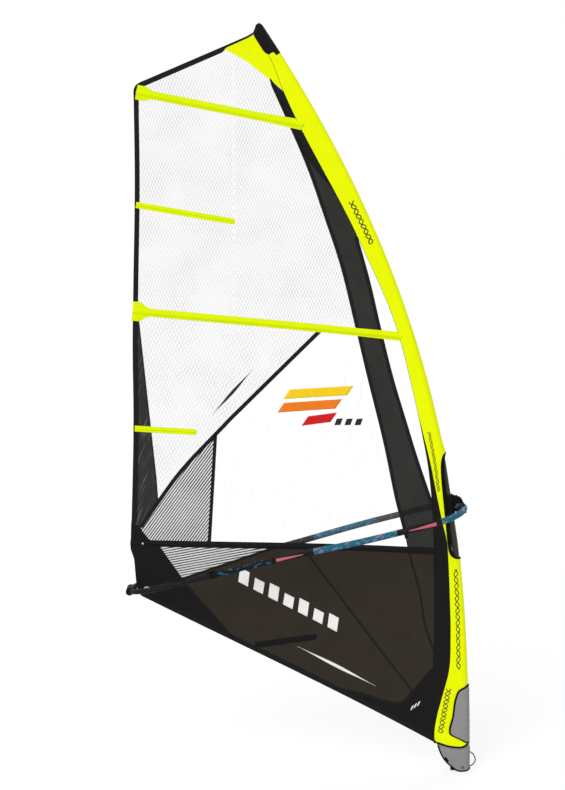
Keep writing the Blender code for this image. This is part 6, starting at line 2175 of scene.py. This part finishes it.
@dataclass
class Studio:
    """Camera, floor, world and lamps."""

    camera_place: tuple = (-0.95848, -8.91241, 3.26343)
    look_down: float = 8.0
    lens: float = 79.636
    world_light: float = 0.62
    lamp_degrees: float = 30.0
    floor_size: float = 60.0
    floor_drop: float = 0.0005
    floor_glow: float = 1.08
    floor_share: float = 0.72

    def camera(self) -> None:
        """Camera at the photograph's angle, for a frame of 565 by 790."""
        data = bpy.data.cameras.new("camera")
        data.lens = self.lens
        data.sensor_width = 36.0
        item = bpy.data.objects.new("camera", data)
        item.location = self.camera_place
        item.rotation_euler = (math.radians(90.0 - self.look_down), 0.0, 0.0)
        bpy.context.scene.collection.objects.link(item)
        bpy.context.scene.camera = item

    @staticmethod
    def shown(graph: Graph, usual: Socket, background: Socket, share: float = 1.0) -> Socket:
        """Shader that gives way to another for rays from the camera, off a mirror or through glass.

        Args:
            graph: the node writer.
            usual: shader for all other rays.
            background: shader for those rays.
            share: how far it gives way.

        Returns:
            The mixed shader.
        """
        path = graph.tree.nodes.new("ShaderNodeLightPath").outputs
        seen = graph.math("MAXIMUM", path["Is Camera Ray"], path["Is Glossy Ray"])
        seen = graph.math("MAXIMUM", seen, path["Is Transmission Ray"])
        return graph.node("ShaderNodeMixShader", {0: graph.times(seen, share), 1: usual, 2: background})

    def world(self) -> None:
        """Plain white world that lights softly and shows as white."""
        bpy.context.scene.world = bpy.data.worlds.new("studio")
        graph = Graph(bpy.context.scene.world)
        light, full = (
            graph.node("ShaderNodeBackground", {"Strength": strength, "Color": (1.0, 1.0, 1.0)})
            for strength in (self.world_light, 1.0)
        )
        graph.put(graph.tree.nodes["World Output"].inputs["Surface"], self.shown(graph, light, full))

    def lamps(self) -> None:
        """A broad key from the front left, and a weaker fill from behind on the right."""
        for name, strength, turn in (("key", 1.35, (52.0, 0.0, -32.0)), ("fill", 0.35, (60.0, 0.0, 150.0))):
            data = bpy.data.lights.new(name, "SUN")
            data.energy = strength
            data.angle = math.radians(self.lamp_degrees)
            item = bpy.data.objects.new(name, data)
            item.rotation_euler = tuple(math.radians(value) for value in turn)
            bpy.context.scene.collection.objects.link(item)

    def floor(self) -> None:
        """Pale floor that shows nearly white and keeps the rig's shadow."""
        half = self.floor_size / 2
        spots = np.linspace(-half, half, 5)
        x, y = np.meshgrid(spots, spots, indexing="ij")
        item = Grid(stacked(x, y, -self.floor_drop)).build("studio_floor", [self.paint()])

    def paint(self) -> Material:
        """Floor finish: pale diffuse, brightened for the rays that show the background.

        Returns:
            The material.
        """
        graph = Graph.of("studio_floor")
        material = graph.shade(Base_Color=(0.90, 0.90, 0.90), Roughness=0.9)
        glow = graph.node("ShaderNodeEmission", {"Strength": self.floor_glow})
        paint = graph.tree.nodes["Principled BSDF"].outputs[0]
        surface = graph.tree.nodes["Material Output"].inputs["Surface"]
        graph.put(surface, self.shown(graph, paint, glow, self.floor_share))
        return material

    def build(self) -> None:
        """Set up the whole studio."""
        self.camera()
        self.world()
        self.lamps()
        self.floor()
        bpy.context.scene.view_settings.view_transform = "Standard"


def main() -> None:
    """Load the frame and build every sub-assembly in order."""
    logging.basicConfig(level=logging.INFO, format="%(name)s: %(message)s")
    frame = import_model()
    finishes = Finishes()
    Studio().build()
    mast = MastLine()
    plane = SailPlane(mast)
    luff = Luff(mast, plane, finishes)
    luff.build()
    maker = SailMaker(plane)
    SailCloth(maker, finishes).build()
    Tack(luff, finishes).build()
    Prints(maker, luff, finishes).build()
    tension_screws(plane, finishes)
    Boom(mast, finishes).build()
    dress_nodes(frame["nodes"], finishes)


if __name__ == "__main__":
    main()
